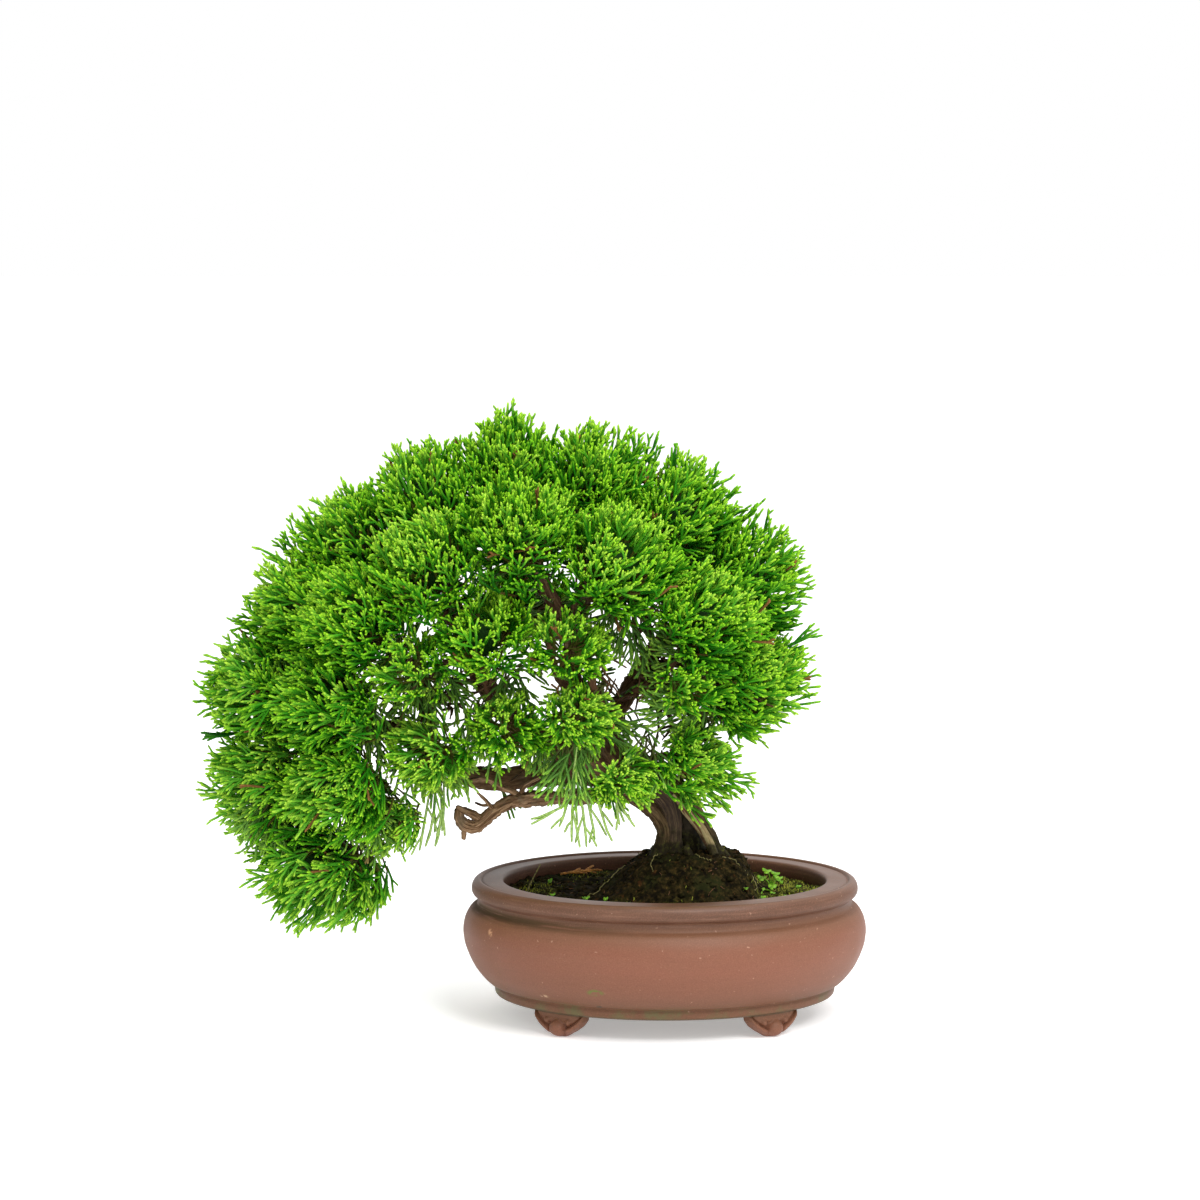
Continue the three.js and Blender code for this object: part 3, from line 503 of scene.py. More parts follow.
def stoneware_material():
    """Unglazed clay: colour by height, throwing streaks, dirt and painted shade in the neck groove, algae and
    specks.
    """
    material, tree, shader, place = new_material("pot_stoneware")
    height = along_axis(tree, place, 2)
    share = maths(tree, "DIVIDE", height, POT_HEIGHT * MM, clamp=True)
    # Colour by height. The last step, on the rim's top, is paler and greyer than the rim below it: partly the
    # clay's colour, partly a painted reflection of light on the top.
    clay = colour_steps(tree, share, [
        (0.0, (0.215, 0.078, 0.045)), (0.16, (0.128, 0.051, 0.018)), (0.26, (0.127, 0.049, 0.018)),
        (0.36, (0.175, 0.063, 0.032)), (0.55, (0.196, 0.066, 0.034)), (0.70, (0.188, 0.066, 0.034)),
        (0.80, (0.162, 0.068, 0.032)), (0.88, (0.080, 0.031, 0.014)), (0.96, (0.088, 0.038, 0.019)),
        (1.0, (0.126, 0.062, 0.036)),
    ])
    broad = noise_value(tree, place, 28.0, detail=3.0)
    clay = painted(tree, clay, (0.185, 0.084, 0.050), broad, 0.3, 0.75, 0.35)
    grain = noise_value(tree, place, 1700.0, detail=3.0, roughness=0.7)
    clay = painted(tree, clay, (0.31, 0.125, 0.072), grain, 0.45, 0.75, 0.36)
    clay = painted(tree, clay, (0.090, 0.036, 0.019), grain, 0.45, 0.28, 0.42)
    pale = noise_value(tree, place, 520.0, detail=1.0)
    clay = painted(tree, clay, (0.46, 0.27, 0.18), pale, 0.73, 0.80, 0.5)
    throwing = noise_value(tree, stretched(tree, place, (40.0, 40.0, 900.0)), 1.0, detail=4.0, roughness=0.6)
    on_rim = between(tree, height, 55 * MM, 61 * MM, 0.2, 1.0)
    light_streak = product(tree, on_rim, between(tree, throwing, 0.5, 0.72, 0.0, 0.3))
    dark_streak = product(tree, on_rim, between(tree, throwing, 0.46, 0.28, 0.0, 0.35))
    clay = blend_colours(tree, light_streak, clay, (0.25, 0.125, 0.078))
    clay = blend_colours(tree, dark_streak, clay, (0.075, 0.034, 0.018))
    # Dark olive streaks in the neck groove, on the left side only: partly dirt, partly painted shade along
    # the groove under the rim.
    in_groove = band(tree, height, (53, 57), (60.5, 57.5))
    at_left = between(tree, along_axis(tree, place, 0), 70 * MM, -10 * MM, 0.1, 0.85)
    left_dirt_and_shade_streaks = product(tree, at_left, between(tree, throwing, 0.3, 0.55))
    groove_dirt_and_shade = product(tree, in_groove, left_dirt_and_shade_streaks)
    clay = blend_colours(tree, groove_dirt_and_shade, clay, (0.052, 0.031, 0.009))
    low_band = band(tree, height, (10.8, 12.0), (20.5, 14.5))
    algae_noise = noise_value(tree, place, 85.0, detail=6.0, roughness=0.65)
    algae = product(tree, low_band, between(tree, algae_noise, 0.46, 0.66, 0.0, 0.7))
    clay = blend_colours(tree, algae, clay, (0.10, 0.105, 0.035))
    under = between(tree, height, 13.2 * MM, 11.9 * MM, 0.0, 0.75)
    seam = product(tree, under, between(tree, height, 10.9 * MM, 11.4 * MM))
    clay = blend_colours(tree, seam, clay, (0.075, 0.052, 0.024))
    spots = noise_value(tree, place, 420.0, detail=3.0)
    for spot, wide, high, colour in (
        ((-34.6, -73, 26.5), 5.5, 2.4, (0.10, 0.16, 0.02)),
        ((-32.5, -66, 18.3), 2.0, 1.3, (0.05, 0.035, 0.02)),
        ((-59.0, -57, 21.5), 3.0, 1.2, (0.42, 0.27, 0.16)),
        ((-85.0, -38, 49.5), 1.6, 2.6, (0.50, 0.26, 0.14)),
    ):
        mask = near_spot(tree, place, pot_point(*spot), wide * MM, high * MM)
        mask = product(tree, mask, between(tree, spots, 0.38, 0.55))
        clay = blend_colours(tree, mask, clay, colour)
    matt = between(tree, broad, 0.25, 0.75, 0.48, 0.64)
    worn = between(tree, height, 66.0 * MM, 68.3 * MM, 1.0, 0.7)
    roughness = maths(tree, "ADD", product(tree, matt, worn), product(tree, groove_dirt_and_shade, 0.35))
    rough_grain = noise_value(tree, place, 900.0, detail=6.0, roughness=0.75)
    normal = bump(tree, rough_grain, 0.16, 0.25 * MM)
    finish_material(tree, shader, clay, roughness, normal, 0.38)
    return material


def soil_material():
    """Damp earth with bark bits, flecks, painted shade in pits, and moss where the piece's points ask for it.
    """
    material, tree, shader, place = new_material("soil_mix")
    crumbs = noise_value(tree, place, 420.0, detail=6.0, roughness=0.7)
    earth = colour_steps(tree, crumbs, [
        (0.32, (0.002, 0.0015, 0.0005)), (0.47, (0.010, 0.007, 0.0015)), (0.56, (0.027, 0.018, 0.006)),
        (0.66, (0.060, 0.036, 0.010)), (0.78, (0.14, 0.082, 0.028)),
    ])
    bark = noise_value(tree, place, 190.0, detail=3.0)
    earth = painted(tree, earth, (0.080, 0.026, 0.008), bark, 0.62, 0.72, 0.5)
    moss = node(tree, "ShaderNodeAttribute", attribute_name="moss").outputs["Fac"]
    patchy = noise_value(tree, place, 150.0, detail=5.0, roughness=0.7)
    green_share = product(tree, moss, between(tree, patchy, 0.35, 0.6))
    green = colour_steps(tree, crumbs, [(0.35, (0.012, 0.017, 0.001)), (0.7, (0.13, 0.15, 0.010))])
    colour = blend_colours(tree, green_share, earth, green)
    flecks = noise_value(tree, place, 620.0, detail=2.0, roughness=0.4)
    colour = painted(tree, colour, (0.11, 0.045, 0.014), flecks, 0.68, 0.74, 0.7)
    film = noise_value(tree, place, 60.0, detail=3.0)
    colour = painted(tree, colour, (0.022, 0.027, 0.007), film, 0.5, 0.66, 0.55)
    # Near-black spots: painted shade of small pits in the earth.
    painted_pit_shade = noise_value(tree, place, 230.0, detail=4.0)
    colour = painted(tree, colour, (0.003, 0.002, 0.001), painted_pit_shade, 0.48, 0.36, 0.8)
    normal = bump(tree, crumbs, 0.9, 0.8 * MM)
    finish_material(tree, shader, colour, 0.95, normal, 0.08)
    return material


def bark_material(name, crack, middle, ridge, mossy):
    """Stringy bark, whose fibres run along the limb. The UV map is in metres around and along."""
    material, tree, shader, place = new_material(name)
    along = node(tree, "ShaderNodeUVMap", uv_map="UVMap").outputs["UV"]
    fibres = noise_value(tree, stretched(tree, along, (1500.0, 110.0, 1.0)), 1.0, 5.0, 0.65, 0.6)
    flakes = noise_value(tree, stretched(tree, along, (480.0, 60.0, 1.0)), 1.0, 4.0, 0.6, 0.8)
    both = maths(tree, "ADD", product(tree, fibres, 0.55), product(tree, flakes, 0.45))
    colour = colour_steps(tree, both, [
        (0.36, crack), (0.47, middle), (0.58, ridge), (0.70, tuple(1.5 * part for part in ridge)),
    ])
    tint_and_shade = node(tree, "ShaderNodeAttribute", attribute_name="tint_and_shade").outputs["Fac"]
    colour = painted(tree, colour, (0.065, 0.045, 0.042), tint_and_shade, 0.3, 0.0, 0.45)
    colour = painted(tree, colour, (0.21, 0.095, 0.050), tint_and_shade, 0.7, 1.0, 0.6)
    # Painted shade: a negative tint turns the bark near black, for the strand in the hollow behind the trunk.
    colour = painted(tree, colour, (0.012, 0.009, 0.003), tint_and_shade, 0.0, -0.5, 0.9)
    pale_streak = product(tree, between(tree, tint_and_shade, 1.0, 1.5), between(tree, flakes, 0.4, 0.58))
    colour = blend_colours(tree, pale_streak, colour, (0.46, 0.37, 0.18))
    patches = noise_value(tree, place, 130.0, detail=4.0)
    grey = between(tree, patches, 0.52, 0.68, 0.0, 0.45)
    colour = blend_colours(tree, grey, colour, (0.13, 0.105, 0.070))
    if mossy:
        height = along_axis(tree, place, 2)
        uneven = product(tree, noise_value(tree, place, 210.0, detail=5.0), 22 * MM)
        level = maths(tree, "ADD", height, uneven)
        low = between(tree, level, 108 * MM, 97 * MM, 0.0, 0.94)
        specks = noise_value(tree, place, 520.0, detail=5.0, roughness=0.7)
        moss = colour_steps(tree, specks, [
            (0.36, (0.004, 0.003, 0.001)), (0.52, (0.018, 0.015, 0.004)), (0.62, (0.050, 0.052, 0.008)),
            (0.72, (0.14, 0.14, 0.025)),
        ])
        colour = blend_colours(tree, low, colour, moss)
    normal = bump(tree, both, 0.55, 0.6 * MM)
    finish_material(tree, shader, colour, 0.82, normal, 0.18)
    return material


def foliage_material(name, faded):
    """Scale leaves. The UV map holds freshness from a cord's base to its tip, and its tone, which carries
    painted light and shade as well as the leaves' own colour.
    """
    material, tree, shader, place = new_material(name)
    both = node(tree, "ShaderNodeUVMap", uv_map="OFBake").outputs["UV"]
    parts = node(tree, "ShaderNodeSeparateXYZ", {0: both})
    fresh, tone = parts.outputs[0], parts.outputs[1]
    # Tones below 0.1 are brown dry leaves, tone 0.12 is the near-black green of the cores' painted shade, and
    # higher tones turn lighter green.
    body = colour_steps(tree, tone, [
        (0.0, (0.20, 0.085, 0.028)), (0.08, (0.15, 0.062, 0.020)), (0.12, (0.001, 0.022, 0.001)),
        (0.2, (0.003, 0.070, 0.001)), (0.45, (0.012, 0.160, 0.002)), (0.7, (0.038, 0.255, 0.006)),
        (1.0, (0.095, 0.360, 0.022)),
    ])
    tips = colour_steps(tree, tone, [
        (0.0, (0.34, 0.150, 0.045)), (0.08, (0.26, 0.110, 0.036)), (0.12, (0.002, 0.020, 0.001)),
        (0.2, (0.045, 0.240, 0.004)), (0.45, (0.210, 0.590, 0.011)), (0.7, (0.420, 0.810, 0.022)),
        (1.0, (0.580, 0.880, 0.070)),
    ])
    colour = blend_colours(tree, maths(tree, "POWER", fresh, 1.9), body, tips)
    colour = painted(tree, colour, (0.105, 0.043, 0.016), fresh, 0.03, 0.01, 0.8)
    scales = node(tree, "ShaderNodeTexVoronoi", {"Vector": place, "Scale": 1300.0}).outputs["Distance"]
    colour = painted(tree, colour, (0.010, 0.060, 0.004), scales, 0.35, 0.75, 0.35)
    colour = blend_colours(tree, faded, colour, (0.27, 0.34, 0.12))
    normal = bump(tree, scales, 0.25, 0.25 * MM)
    finish_material(tree, shader, colour, 0.62, normal, 0.08)
    return material


def plain_plant_material(name, dark, light, roughness, scale=900.0):
    """Two shades of one colour in fine patches."""
    material, tree, shader, place = new_material(name)
    cells = noise_value(tree, place, scale, detail=4.0)
    colour = colour_steps(tree, cells, [(0.35, dark), (0.65, light)])
    normal = bump(tree, cells, 0.2, 0.2 * MM)
    finish_material(tree, shader, colour, roughness, normal)
    return material


# Pot
def oval_skin(profile, stations, uneven=0.0):
    """Rings of the oval at each (inset, height) of the profile."""
    angles = round_angles(stations)
    rings = []
    for inset, height in profile:
        half = POT_HALF_LENGTH - inset
        ripple = uneven * (np.sin(3 * angles + 0.7) + 0.6 * np.sin(7 * angles + 2.0 + height / 18))
        rings.append(np.column_stack([
            (half + ripple) * np.cos(angles), (half - OVAL_INSET + ripple) * np.sin(angles),
            np.full(stations, height),
        ]))
    return np.array(rings)


def closed_rings(rings, first_point, last_point):
    """Skin over rings with a fan to a point at either end."""
    count, stations = rings.shape[:2]
    points = np.vstack([[first_point], rings.reshape(-1, 3), [last_point]])
    here = np.arange(stations)
    ahead = (here + 1) % stations
    faces = [np.column_stack([np.zeros(stations, int), 1 + ahead, 1 + here])]
    for ring in range(count - 1):
        low, high = 1 + ring * stations, 1 + (ring + 1) * stations
        faces.append(np.column_stack([low + here, low + ahead, high + ahead]))
        faces.append(np.column_stack([low + here, high + ahead, high + here]))
    top = 1 + (count - 1) * stations
    faces.append(np.column_stack([np.full(stations, len(points) - 1), top + here, top + ahead]))
    return points, np.concatenate(faces)


def rounded_profile(corners, step):
    """The profile as a smooth line with a point about every step."""
    line = [(inset, height, 0.0, 0.0) for inset, height in corners]
    length = np.sum(np.linalg.norm(np.diff(np.array(corners), axis=0), axis=1))
    places, _, _ = smooth_line(line, int(length / step))
    return [(inset, height) for inset, height, _ in places]


def foot_relief(across, level):
    """How far a foot's carving stands out of its plain front, from half width and height."""
    outline = np.interp(across, [half for half, _ in FOOT_SIDE], [height for _, height in FOOT_SIDE])
    toe = np.sqrt(np.maximum(0, 1 - (across / TOE_RADIUS) ** 2 - ((level - 4.2) / TOE_RADIUS) ** 2))
    in_scroll = (level - outline - 1.5) / 1.7
    scroll = np.sqrt(np.maximum(0, 1 - in_scroll ** 2)) * smoothstep(across, 3.0, 4.4)
    groove = np.exp(-((level - outline - 3.7) / 0.55) ** 2) * smoothstep(across, 4.0, 5.2)
    curl = np.sqrt(np.maximum(0, 1 - ((across - 6.3) / 1.7) ** 2 - ((level - 7.6) / 1.7) ** 2))
    seam = np.exp(-((across - 4.5) / 0.5) ** 2) * (1 - smoothstep(level, 6.0, 8.5))
    brow = np.exp(-((level - 8.6 - 0.05 * across) / 0.6) ** 2) * (across < 5)
    return 3.8 * toe + 2.0 * scroll - 0.9 * groove + 1.3 * curl - 1.1 * seam + 0.5 * brow


def foot_mesh(side_x, side_y):
    """A cloud foot: a round toe in the middle, with a scroll that sweeps up on either side."""
    heights = np.linspace(0, 14, 38)
    half_widths = np.interp(heights, [height for _, height in FOOT_SIDE], [half for half, _ in FOOT_SIDE])
    behind = np.linspace(0, math.pi, 18, endpoint=False)
    before = np.linspace(math.pi, 2 * math.pi, 76, endpoint=False)
    angles = np.concatenate([behind, before])
    cosine, sine = np.cos(angles), np.sin(angles)
    across = half_widths[:, None] * np.sign(cosine) * np.abs(cosine) ** 0.85
    flat = np.interp(heights, [0, 1.2, 4, 14], [2.6, 3.8, 4.6, 4.9])
    depth = flat[:, None] * np.sign(sine) * np.abs(sine) ** 0.5
    level = np.broadcast_to(heights[:, None], across.shape)
    relief = foot_relief(np.abs(across), level)
    depth = depth - np.where(sine < 0, relief * np.minimum(1, np.abs(sine) * 3), 0)
    base_half = POT_HALF_LENGTH - WALL_OUTSIDE[0][0]
    flattening = (base_half - OVAL_INSET) / base_half
    turn = math.atan2(FOOT_CENTRE[0] * flattening ** 2, FOOT_CENTRE[1])
    yaw = turn * side_x if side_y < 0 else math.pi - turn * side_x
    cos_yaw, sin_yaw = math.cos(yaw), math.sin(yaw)
    x = across * cos_yaw - depth * sin_yaw + FOOT_CENTRE[0] * side_x
    y = across * sin_yaw + depth * cos_yaw + FOOT_CENTRE[1] * side_y
    rings = np.stack([x, y, level], axis=-1)
    return closed_rings(rings, rings[0].mean(0), rings[-1].mean(0))


def drain_hole_cutter(side_x):
    bpy.ops.mesh.primitive_cylinder_add(
        vertices=48, radius=DRAIN_HOLE_RADIUS * MM, depth=30 * MM,
        location=pot_point(DRAIN_HOLE_X * side_x, 0, FLOOR_HEIGHT),
    )
    return bpy.context.object


def make_pot(clay):
    outside = rounded_profile(WALL_OUTSIDE, 0.75)
    rings = oval_skin([*outside, *WALL_INSIDE], 180, uneven=0.12)
    wall = closed_rings(rings, (0, 0, BASE_HEIGHT), (0, 0, FLOOR_HEIGHT))
    pot = add_piece("stoneware_pot", *wall, clay, "pot_stoneware", ["pot"])
    for side_x in (-1, 1):
        cutter = drain_hole_cutter(side_x)
        modifier = pot.modifiers.new("drain_hole", "BOOLEAN")
        modifier.operation = "DIFFERENCE"
        modifier.solver = "EXACT"
        modifier.object = cutter
        with bpy.context.temp_override(object=pot, active_object=pot, selected_objects=[pot]):
            bpy.ops.object.modifier_apply(modifier=modifier.name)
        bpy.data.objects.remove(cutter)
    for number, (side_x, side_y) in enumerate(((-1, -1), (1, -1), (1, 1), (-1, 1)), 1):
        add_piece(f"pot_foot_{number}", *foot_mesh(side_x, side_y), clay, "pot_stoneware")


# Soil
def smoothstep(value, low, high):
    share = np.clip((value - low) / (high - low), 0, 1)
    return share * share * (3 - 2 * share)


def soil_height(x, y):
    x, y = np.asarray(x, float), np.asarray(y, float)
    reach_x = np.where(x < MOUND_CENTRE[0], MOUND_REACH["left"], MOUND_REACH["right"])
    reach_y = np.where(y < MOUND_CENTRE[1], MOUND_REACH["front"], MOUND_REACH["back"])
    sideways = (x - MOUND_CENTRE[0]) / reach_x
    away = np.hypot(sideways, (y - MOUND_CENTRE[1]) / reach_y)
    to_right = np.maximum(0, sideways) / np.maximum(away, 1e-6)
    top_share = MOUND_TOP_SHARE + MOUND_EXTRA_TO_RIGHT * to_right ** 2
    unevenness = 0.8 * np.sin(x / 9) * np.cos(y / 7)
    height = MOUND_HEIGHT - MOUND_FALL_TO_RIGHT * np.clip(x - MOUND_CENTRE[0], 0, 30)
    return SOIL_LEVEL + height * (1 - smoothstep(away, top_share, 1)) + unevenness


def rough_soil_height(x, y):
    """The soil's height with its clods and crumbs."""
    smooth = soil_height(x, y)
    clods = np.array([noise.fractal(Vector((a / 7, b / 7, 3.1)), 0.8, 2.1, 6) for a, b in zip(x, y)])
    crumbs = np.array([noise.noise(Vector((a / 1.5, b / 1.5, 7.7))) for a, b in zip(x, y)])
    return smooth + 1.9 * clods + 1.0 * np.abs(crumbs)


def moss_share(x, y):
    """How mossy the soil is: by the right end, along the front and at the left."""
    share = np.full(np.shape(x), 0.03)
    for spot_x, spot_y, reach, most in MOSSY_SPOTS:
        away = np.hypot(x - spot_x, y - spot_y)
        share = np.maximum(share, most * (1 - smoothstep(away, 0.3 * reach, reach)))
    return share


def make_soil(earth):
    half = POT_HALF_LENGTH - SOIL_INSET
    stations, rings = 220, 62
    angles = round_angles(stations)
    shares = np.linspace(1, 0.02, rings)[:, None]
    edge_x, edge_y = half * np.cos(angles), (half - OVAL_INSET) * np.sin(angles)
    x = MOUND_CENTRE[0] + (edge_x - MOUND_CENTRE[0]) * shares
    y = MOUND_CENTRE[1] + (edge_y - MOUND_CENTRE[1]) * shares
    height = rough_soil_height(x.ravel(), y.ravel()).reshape(x.shape)
    top = np.stack([x, y, height], axis=-1)
    profile = [(24.4, FLOOR_HEIGHT + 2), (18.4, 20.2), (8.9, 35), (8.9, 49), (SOIL_INSET, 60.0)]
    side = oval_skin(profile, stations)
    all_rings = np.concatenate([side, top])
    peak = (*MOUND_CENTRE, float(soil_height(*MOUND_CENTRE)))
    points, faces = closed_rings(all_rings, (0, 0, FLOOR_HEIGHT + 2), peak)
    moss = moss_share(points[:, 0], points[:, 1])
    add_piece("soil_mound", points, faces, earth, "soil_mix", ["soil"], point_values={"moss": moss})


def scatter_on_soil(count, wanted=None):
    """Places on the soil, more of them where wanted(x, y) is high."""
    half = POT_HALF_LENGTH - CRUMB_INSET
    kept = []
    while len(kept) < count:
        x, y = draw.uniform(-half, half), draw.uniform(-(half - OVAL_INSET), half - OVAL_INSET)
        inside = (x / half) ** 2 + (y / (half - OVAL_INSET)) ** 2 < 1
        if inside and (wanted is None or draw.random() < wanted(x, y)):
            kept.append((x, y))
    return np.array(kept)


def make_clods(earth):
    places = scatter_on_soil(CLOD_COUNT)
    bpy.ops.mesh.primitive_ico_sphere_add(subdivisions=1, radius=1.0)
    ball = bpy.context.object
    shape = np.array([corner.co for corner in ball.data.vertices])
    ball_faces = np.array([face.vertices[:] for face in ball.data.polygons])
    bpy.data.objects.remove(ball)
    parts = []
    for x, y in places:
        size = draw.uniform(0.4, 1.2) if draw.random() < 0.8 else draw.uniform(1.2, 2.2)
        lumpy = shape * (1 + 0.35 * draw.standard_normal((len(shape), 1)).clip(-1, 1))
        turned = lumpy @ np.array(Euler(draw.uniform(0, 6.3, 3)).to_matrix()).T
        middle = np.array([x, y, soil_height(x, y) + 0.3 * size])
        points = turned * size * [1, 1, 0.7] + middle
        parts.append((points, ball_faces, np.full(len(points), 0.6 * float(moss_share(x, y)))))
    points, faces, moss = merged(parts)
    add_piece("soil_crumbs", points, faces, earth, "soil_mix", point_values={"moss": moss})


def make_moss(green):
    places = scatter_on_soil(MOSS_BLADES, lambda x, y: float(moss_share(x, y)) ** 1.5)
    lean = np.column_stack([draw.normal(0, 0.45, (len(places), 2)), np.ones(len(places))])
    length = draw.uniform(1.2, 3.4, len(places))
    foot = np.column_stack([places, soil_height(places[:, 0], places[:, 1]) - 0.4])
    rings = np.stack([foot, foot + scaled(unit(lean), 0.55 * length)], axis=1)
    radii = np.column_stack([draw.uniform(0.25, 0.45, len(places)), np.full(len(places), 0.22)])
    add_piece("moss", *tubes(rings, radii, 3, blunt=3.0), green, "soil_mix")


def lying_sticks(starts, ways, lengths, radii):
    """Thin sticks that follow the soil."""
    shares = np.linspace(0, 1, 5)
    side = np.column_stack([-ways[:, 1], ways[:, 0]])
    bend = draw.normal(0, 0.12, len(starts))
    flat = (starts[:, None] + scaled(ways[:, None], shares * lengths[:, None])
            + scaled(side[:, None], bend[:, None] * lengths[:, None] * (shares * (1 - shares)) * 4))
    heights = soil_height(flat[..., 0], flat[..., 1]) + 0.55 + 0.3 * draw.random(flat.shape[:2])
    rings = np.concatenate([flat, heights[..., None]], axis=-1)
    thickness = radii[:, None] * np.array([1, 1, 0.9, 0.75, 0.5])
    return tubes(rings, thickness, 5)


def make_litter(old_leaf, pale):
    places = scatter_on_soil(LITTER_STICKS)
    angle = draw.uniform(0, 2 * math.pi, len(places))
    ways = unit(np.column_stack([np.cos(angle), np.sin(angle)]) - 0.4 * unit(places))
    lengths, radii = draw.uniform(1.5, 6, len(places)), draw.uniform(0.15, 0.35, len(places))
    add_piece("litter", *lying_sticks(places, ways, lengths, radii), old_leaf, "dry_sprig")
    parts = []
    for line in PALE_ROOTS:
        x, y = np.array(line, float).T
        height = soil_height(x, y) + 0.8
        radius = np.linspace(0.34, 0.16, len(line))
        centres, radii, _ = smooth_line(np.column_stack([x, y, height, radius]), 16)
        centres = centres + draw.normal(0, 0.3, centres.shape)
        parts.append(rod(centres, radii, 6))
    parts.append(rod(*smooth_line(LEANING_STEM, 8)[:2], 6))
    add_piece("fine_roots", *merged(parts), pale, "juniper_wood")


# Wood
def ridges(angles, along, seed, depth):
    """Bark ridges that run along a limb and wander slowly round it, with flakes and knots."""
    phase = np.random.default_rng(seed).uniform(0, 6.3, 9)
    along = along[:, None]
    broad = np.abs(np.cos(1.5 * angles + phase[0] + 0.012 * along + 0.5 * np.sin(along / 19)))
    middle = np.abs(np.cos(3.5 * angles + phase[1] + 0.03 * along + 0.8 * np.sin(along / 11)))
    fine = np.abs(np.cos(8.5 * angles + phase[2] - 0.02 * along + 0.9 * np.sin(along / 6)))
    lumps = np.sin(along / 5 + phase[3]) * np.cos(angles + along / 9 + phase[4])
    flakes = np.sin(5 * angles + 1.3 * along + phase[5]) * np.sin(3 * angles - 0.8 * along + phase[6])
    small = np.sin(11 * angles - 2.1 * along + phase[7]) * np.sin(7 * angles + 1.1 * along + phase[8])
    flakes = flakes + 0.6 * small
    return 1 + depth * (0.9 * broad + 0.8 * middle + 0.55 * fine - 1.3 + 0.7 * lumps + 0.45 * flakes)


def roughened(skin, middles, depth):
    """Skin points pushed in and out by flaky lumps."""
    lumps = [noise.fractal(Vector(point / 2.6), 0.6, 2.1, 4) + 0.8 * noise.noise(Vector(point / 6.0))
             for point in skin]
    return middles + scaled(skin - middles, 1 + 0.9 * depth * np.array(lumps))


def bark_tube(points, sides, step, seed, depth, tint_and_shade):
    """A limb with its bark: points, triangles, UV map of the corners in metres, and its tint, which for the
    back strand is painted shade.
    """
    length = smooth_line(points, 2)[2]
    rings = max(6, int(length / step))
    places, radii, _ = smooth_line(points, rings)
    angles = round_angles(sides)
    along = np.linspace(0, length, rings)
    relief = ridges(angles, along, seed, depth)
    skin, faces = tubes(places[None], radii[None], sides, relief=relief[None])
    if radii.max() > 1.5:
        skin[:-1] = roughened(skin[:-1], np.repeat(places, sides, axis=0), depth)
    girth = 2 * math.pi * float(radii.mean())
    around = np.append(np.tile(angles / (2 * math.pi) * girth, rings), 0.5 * girth)
    lengthwise = np.append(np.repeat(along, sides), length) + 300 * (seed % 7)
    u = around[faces]
    wraps = (u.max(1) - u.min(1)) > 0.6 * girth
    u = np.where(wraps[:, None] & (u < 0.5 * girth), u + girth, u)
    uv = np.stack([u, lengthwise[faces]], axis=-1) * MM
    return skin, faces, uv, np.full(len(skin), tint_and_shade)


def bark_tubes(lines, sides, step, first_seed, depth, tint_and_shade):
    return [bark_tube(points, sides, step, seed, depth, tint_and_shade)
            for seed, points in enumerate(lines, first_seed)]


def add_wood(name, parts, material, replaced=()):
    uv = np.concatenate([part[2] for part in parts])
    points, faces, tint_and_shade = merged([(part[0], part[1], part[3]) for part in parts])
    add_piece(name, points, faces, material, "juniper_wood", replaced, corner_uv=uv,
              point_values={"tint_and_shade": tint_and_shade})


def branchlet_to(middle, limb_places, limb_radii):
    """Points of a branchlet from the nearest limb to the middle of a foliage mass."""
    away = np.linalg.norm(limb_places - middle, axis=1)
    nearest = int(np.argmin(away + 0.4 * np.abs(limb_places[:, 2] - middle[2])))
    foot, radius = limb_places[nearest], min(2.4, 0.7 * limb_radii[nearest])
    bend = 0.5 * (foot + middle) + [0, 0, 0.12 * away[nearest]]
    return [(*foot, radius), (*bend, 0.5 * (radius + 1.3)), (*middle, 1.1)]


def inner_twigs(limb_places, count):
    """Bare forked twigs from the limbs into the crown."""
    parts = []
    for seed in range(count):
        foot = limb_places[int(draw.integers(len(limb_places)))]
        way = unit(draw.normal(0, 1, 3) + [0, -0.35, 0.2])
        length = draw.uniform(8, 20)
        middle = foot + way * 0.5 * length + draw.normal(0, 1.5, 3)
        end = foot + way * length + draw.normal(0, 2.5, 3)
        twig = [(*foot, 0.8), (*middle, 0.65), (*end, 0.4)]
        fork = middle + unit(way + draw.normal(0, 0.8, 3)) * 0.45 * length
        halfway = 0.5 * (middle + fork) + 0.6
        side_twig = [(*middle, 0.6), (*halfway, 0.5), (*fork, 0.35)]
        parts.append(bark_tube(twig, 5, 3.0, seed + 200, 0.08, 0.85))
        parts.append(bark_tube(side_twig, 5, 3.0, seed + 400, 0.08, 0.85))
    return parts


def limb_middles():
    """Places along the middles of the live limbs, and the limbs' radii there."""
    lines = [smooth_line(points, 40)[:2] for points in LIVE_LIMBS]
    return np.vstack([places[4:] for places, _ in lines]), np.concatenate([radii[4:] for _, radii in lines])


def make_wood(bark, dead_bark, masses, limb_places, limb_radii):
    parts = [bark_tube(points, 40, 0.9, seed, 0.075, STRAND_TINTS_AND_SHADE[name])
             for seed, (name, points) in enumerate(TRUNK_STRANDS.items(), 3)]
    parts += bark_tubes(SURFACE_ROOTS, 12, 1.0, 20, 0.14, 0.3)
    parts += bark_tubes(LIVE_LIMBS, 18, 1.5, 30, 0.14, 0.85)
    branchlets = [branchlet_to(mass["middle"], limb_places, limb_radii) for mass in masses]
    parts += bark_tubes(branchlets, 8, 2.5, 60, 0.06, 0.6)
    parts += bark_tubes(SIDE_LIMBS, 12, 1.6, 50, 0.14, 0.98)
    side_places = np.vstack([smooth_line(points, 16)[0][3:] for points in SIDE_LIMBS])
    parts += inner_twigs(limb_places, LIMB_TWIGS)
    parts += inner_twigs(side_places, FRONT_TWIGS)
    add_wood("juniper_wood", parts, bark, ["trunk_and_branches"])
    dead = [bark_tube(DEAD_BRANCH, 28, 0.75, 90, 0.19, 0.5)]
    add_wood("dead_branch", dead + bark_tubes(DEAD_TWIGS, 12, 0.7, 91, 0.19, 0.5), dead_bark)


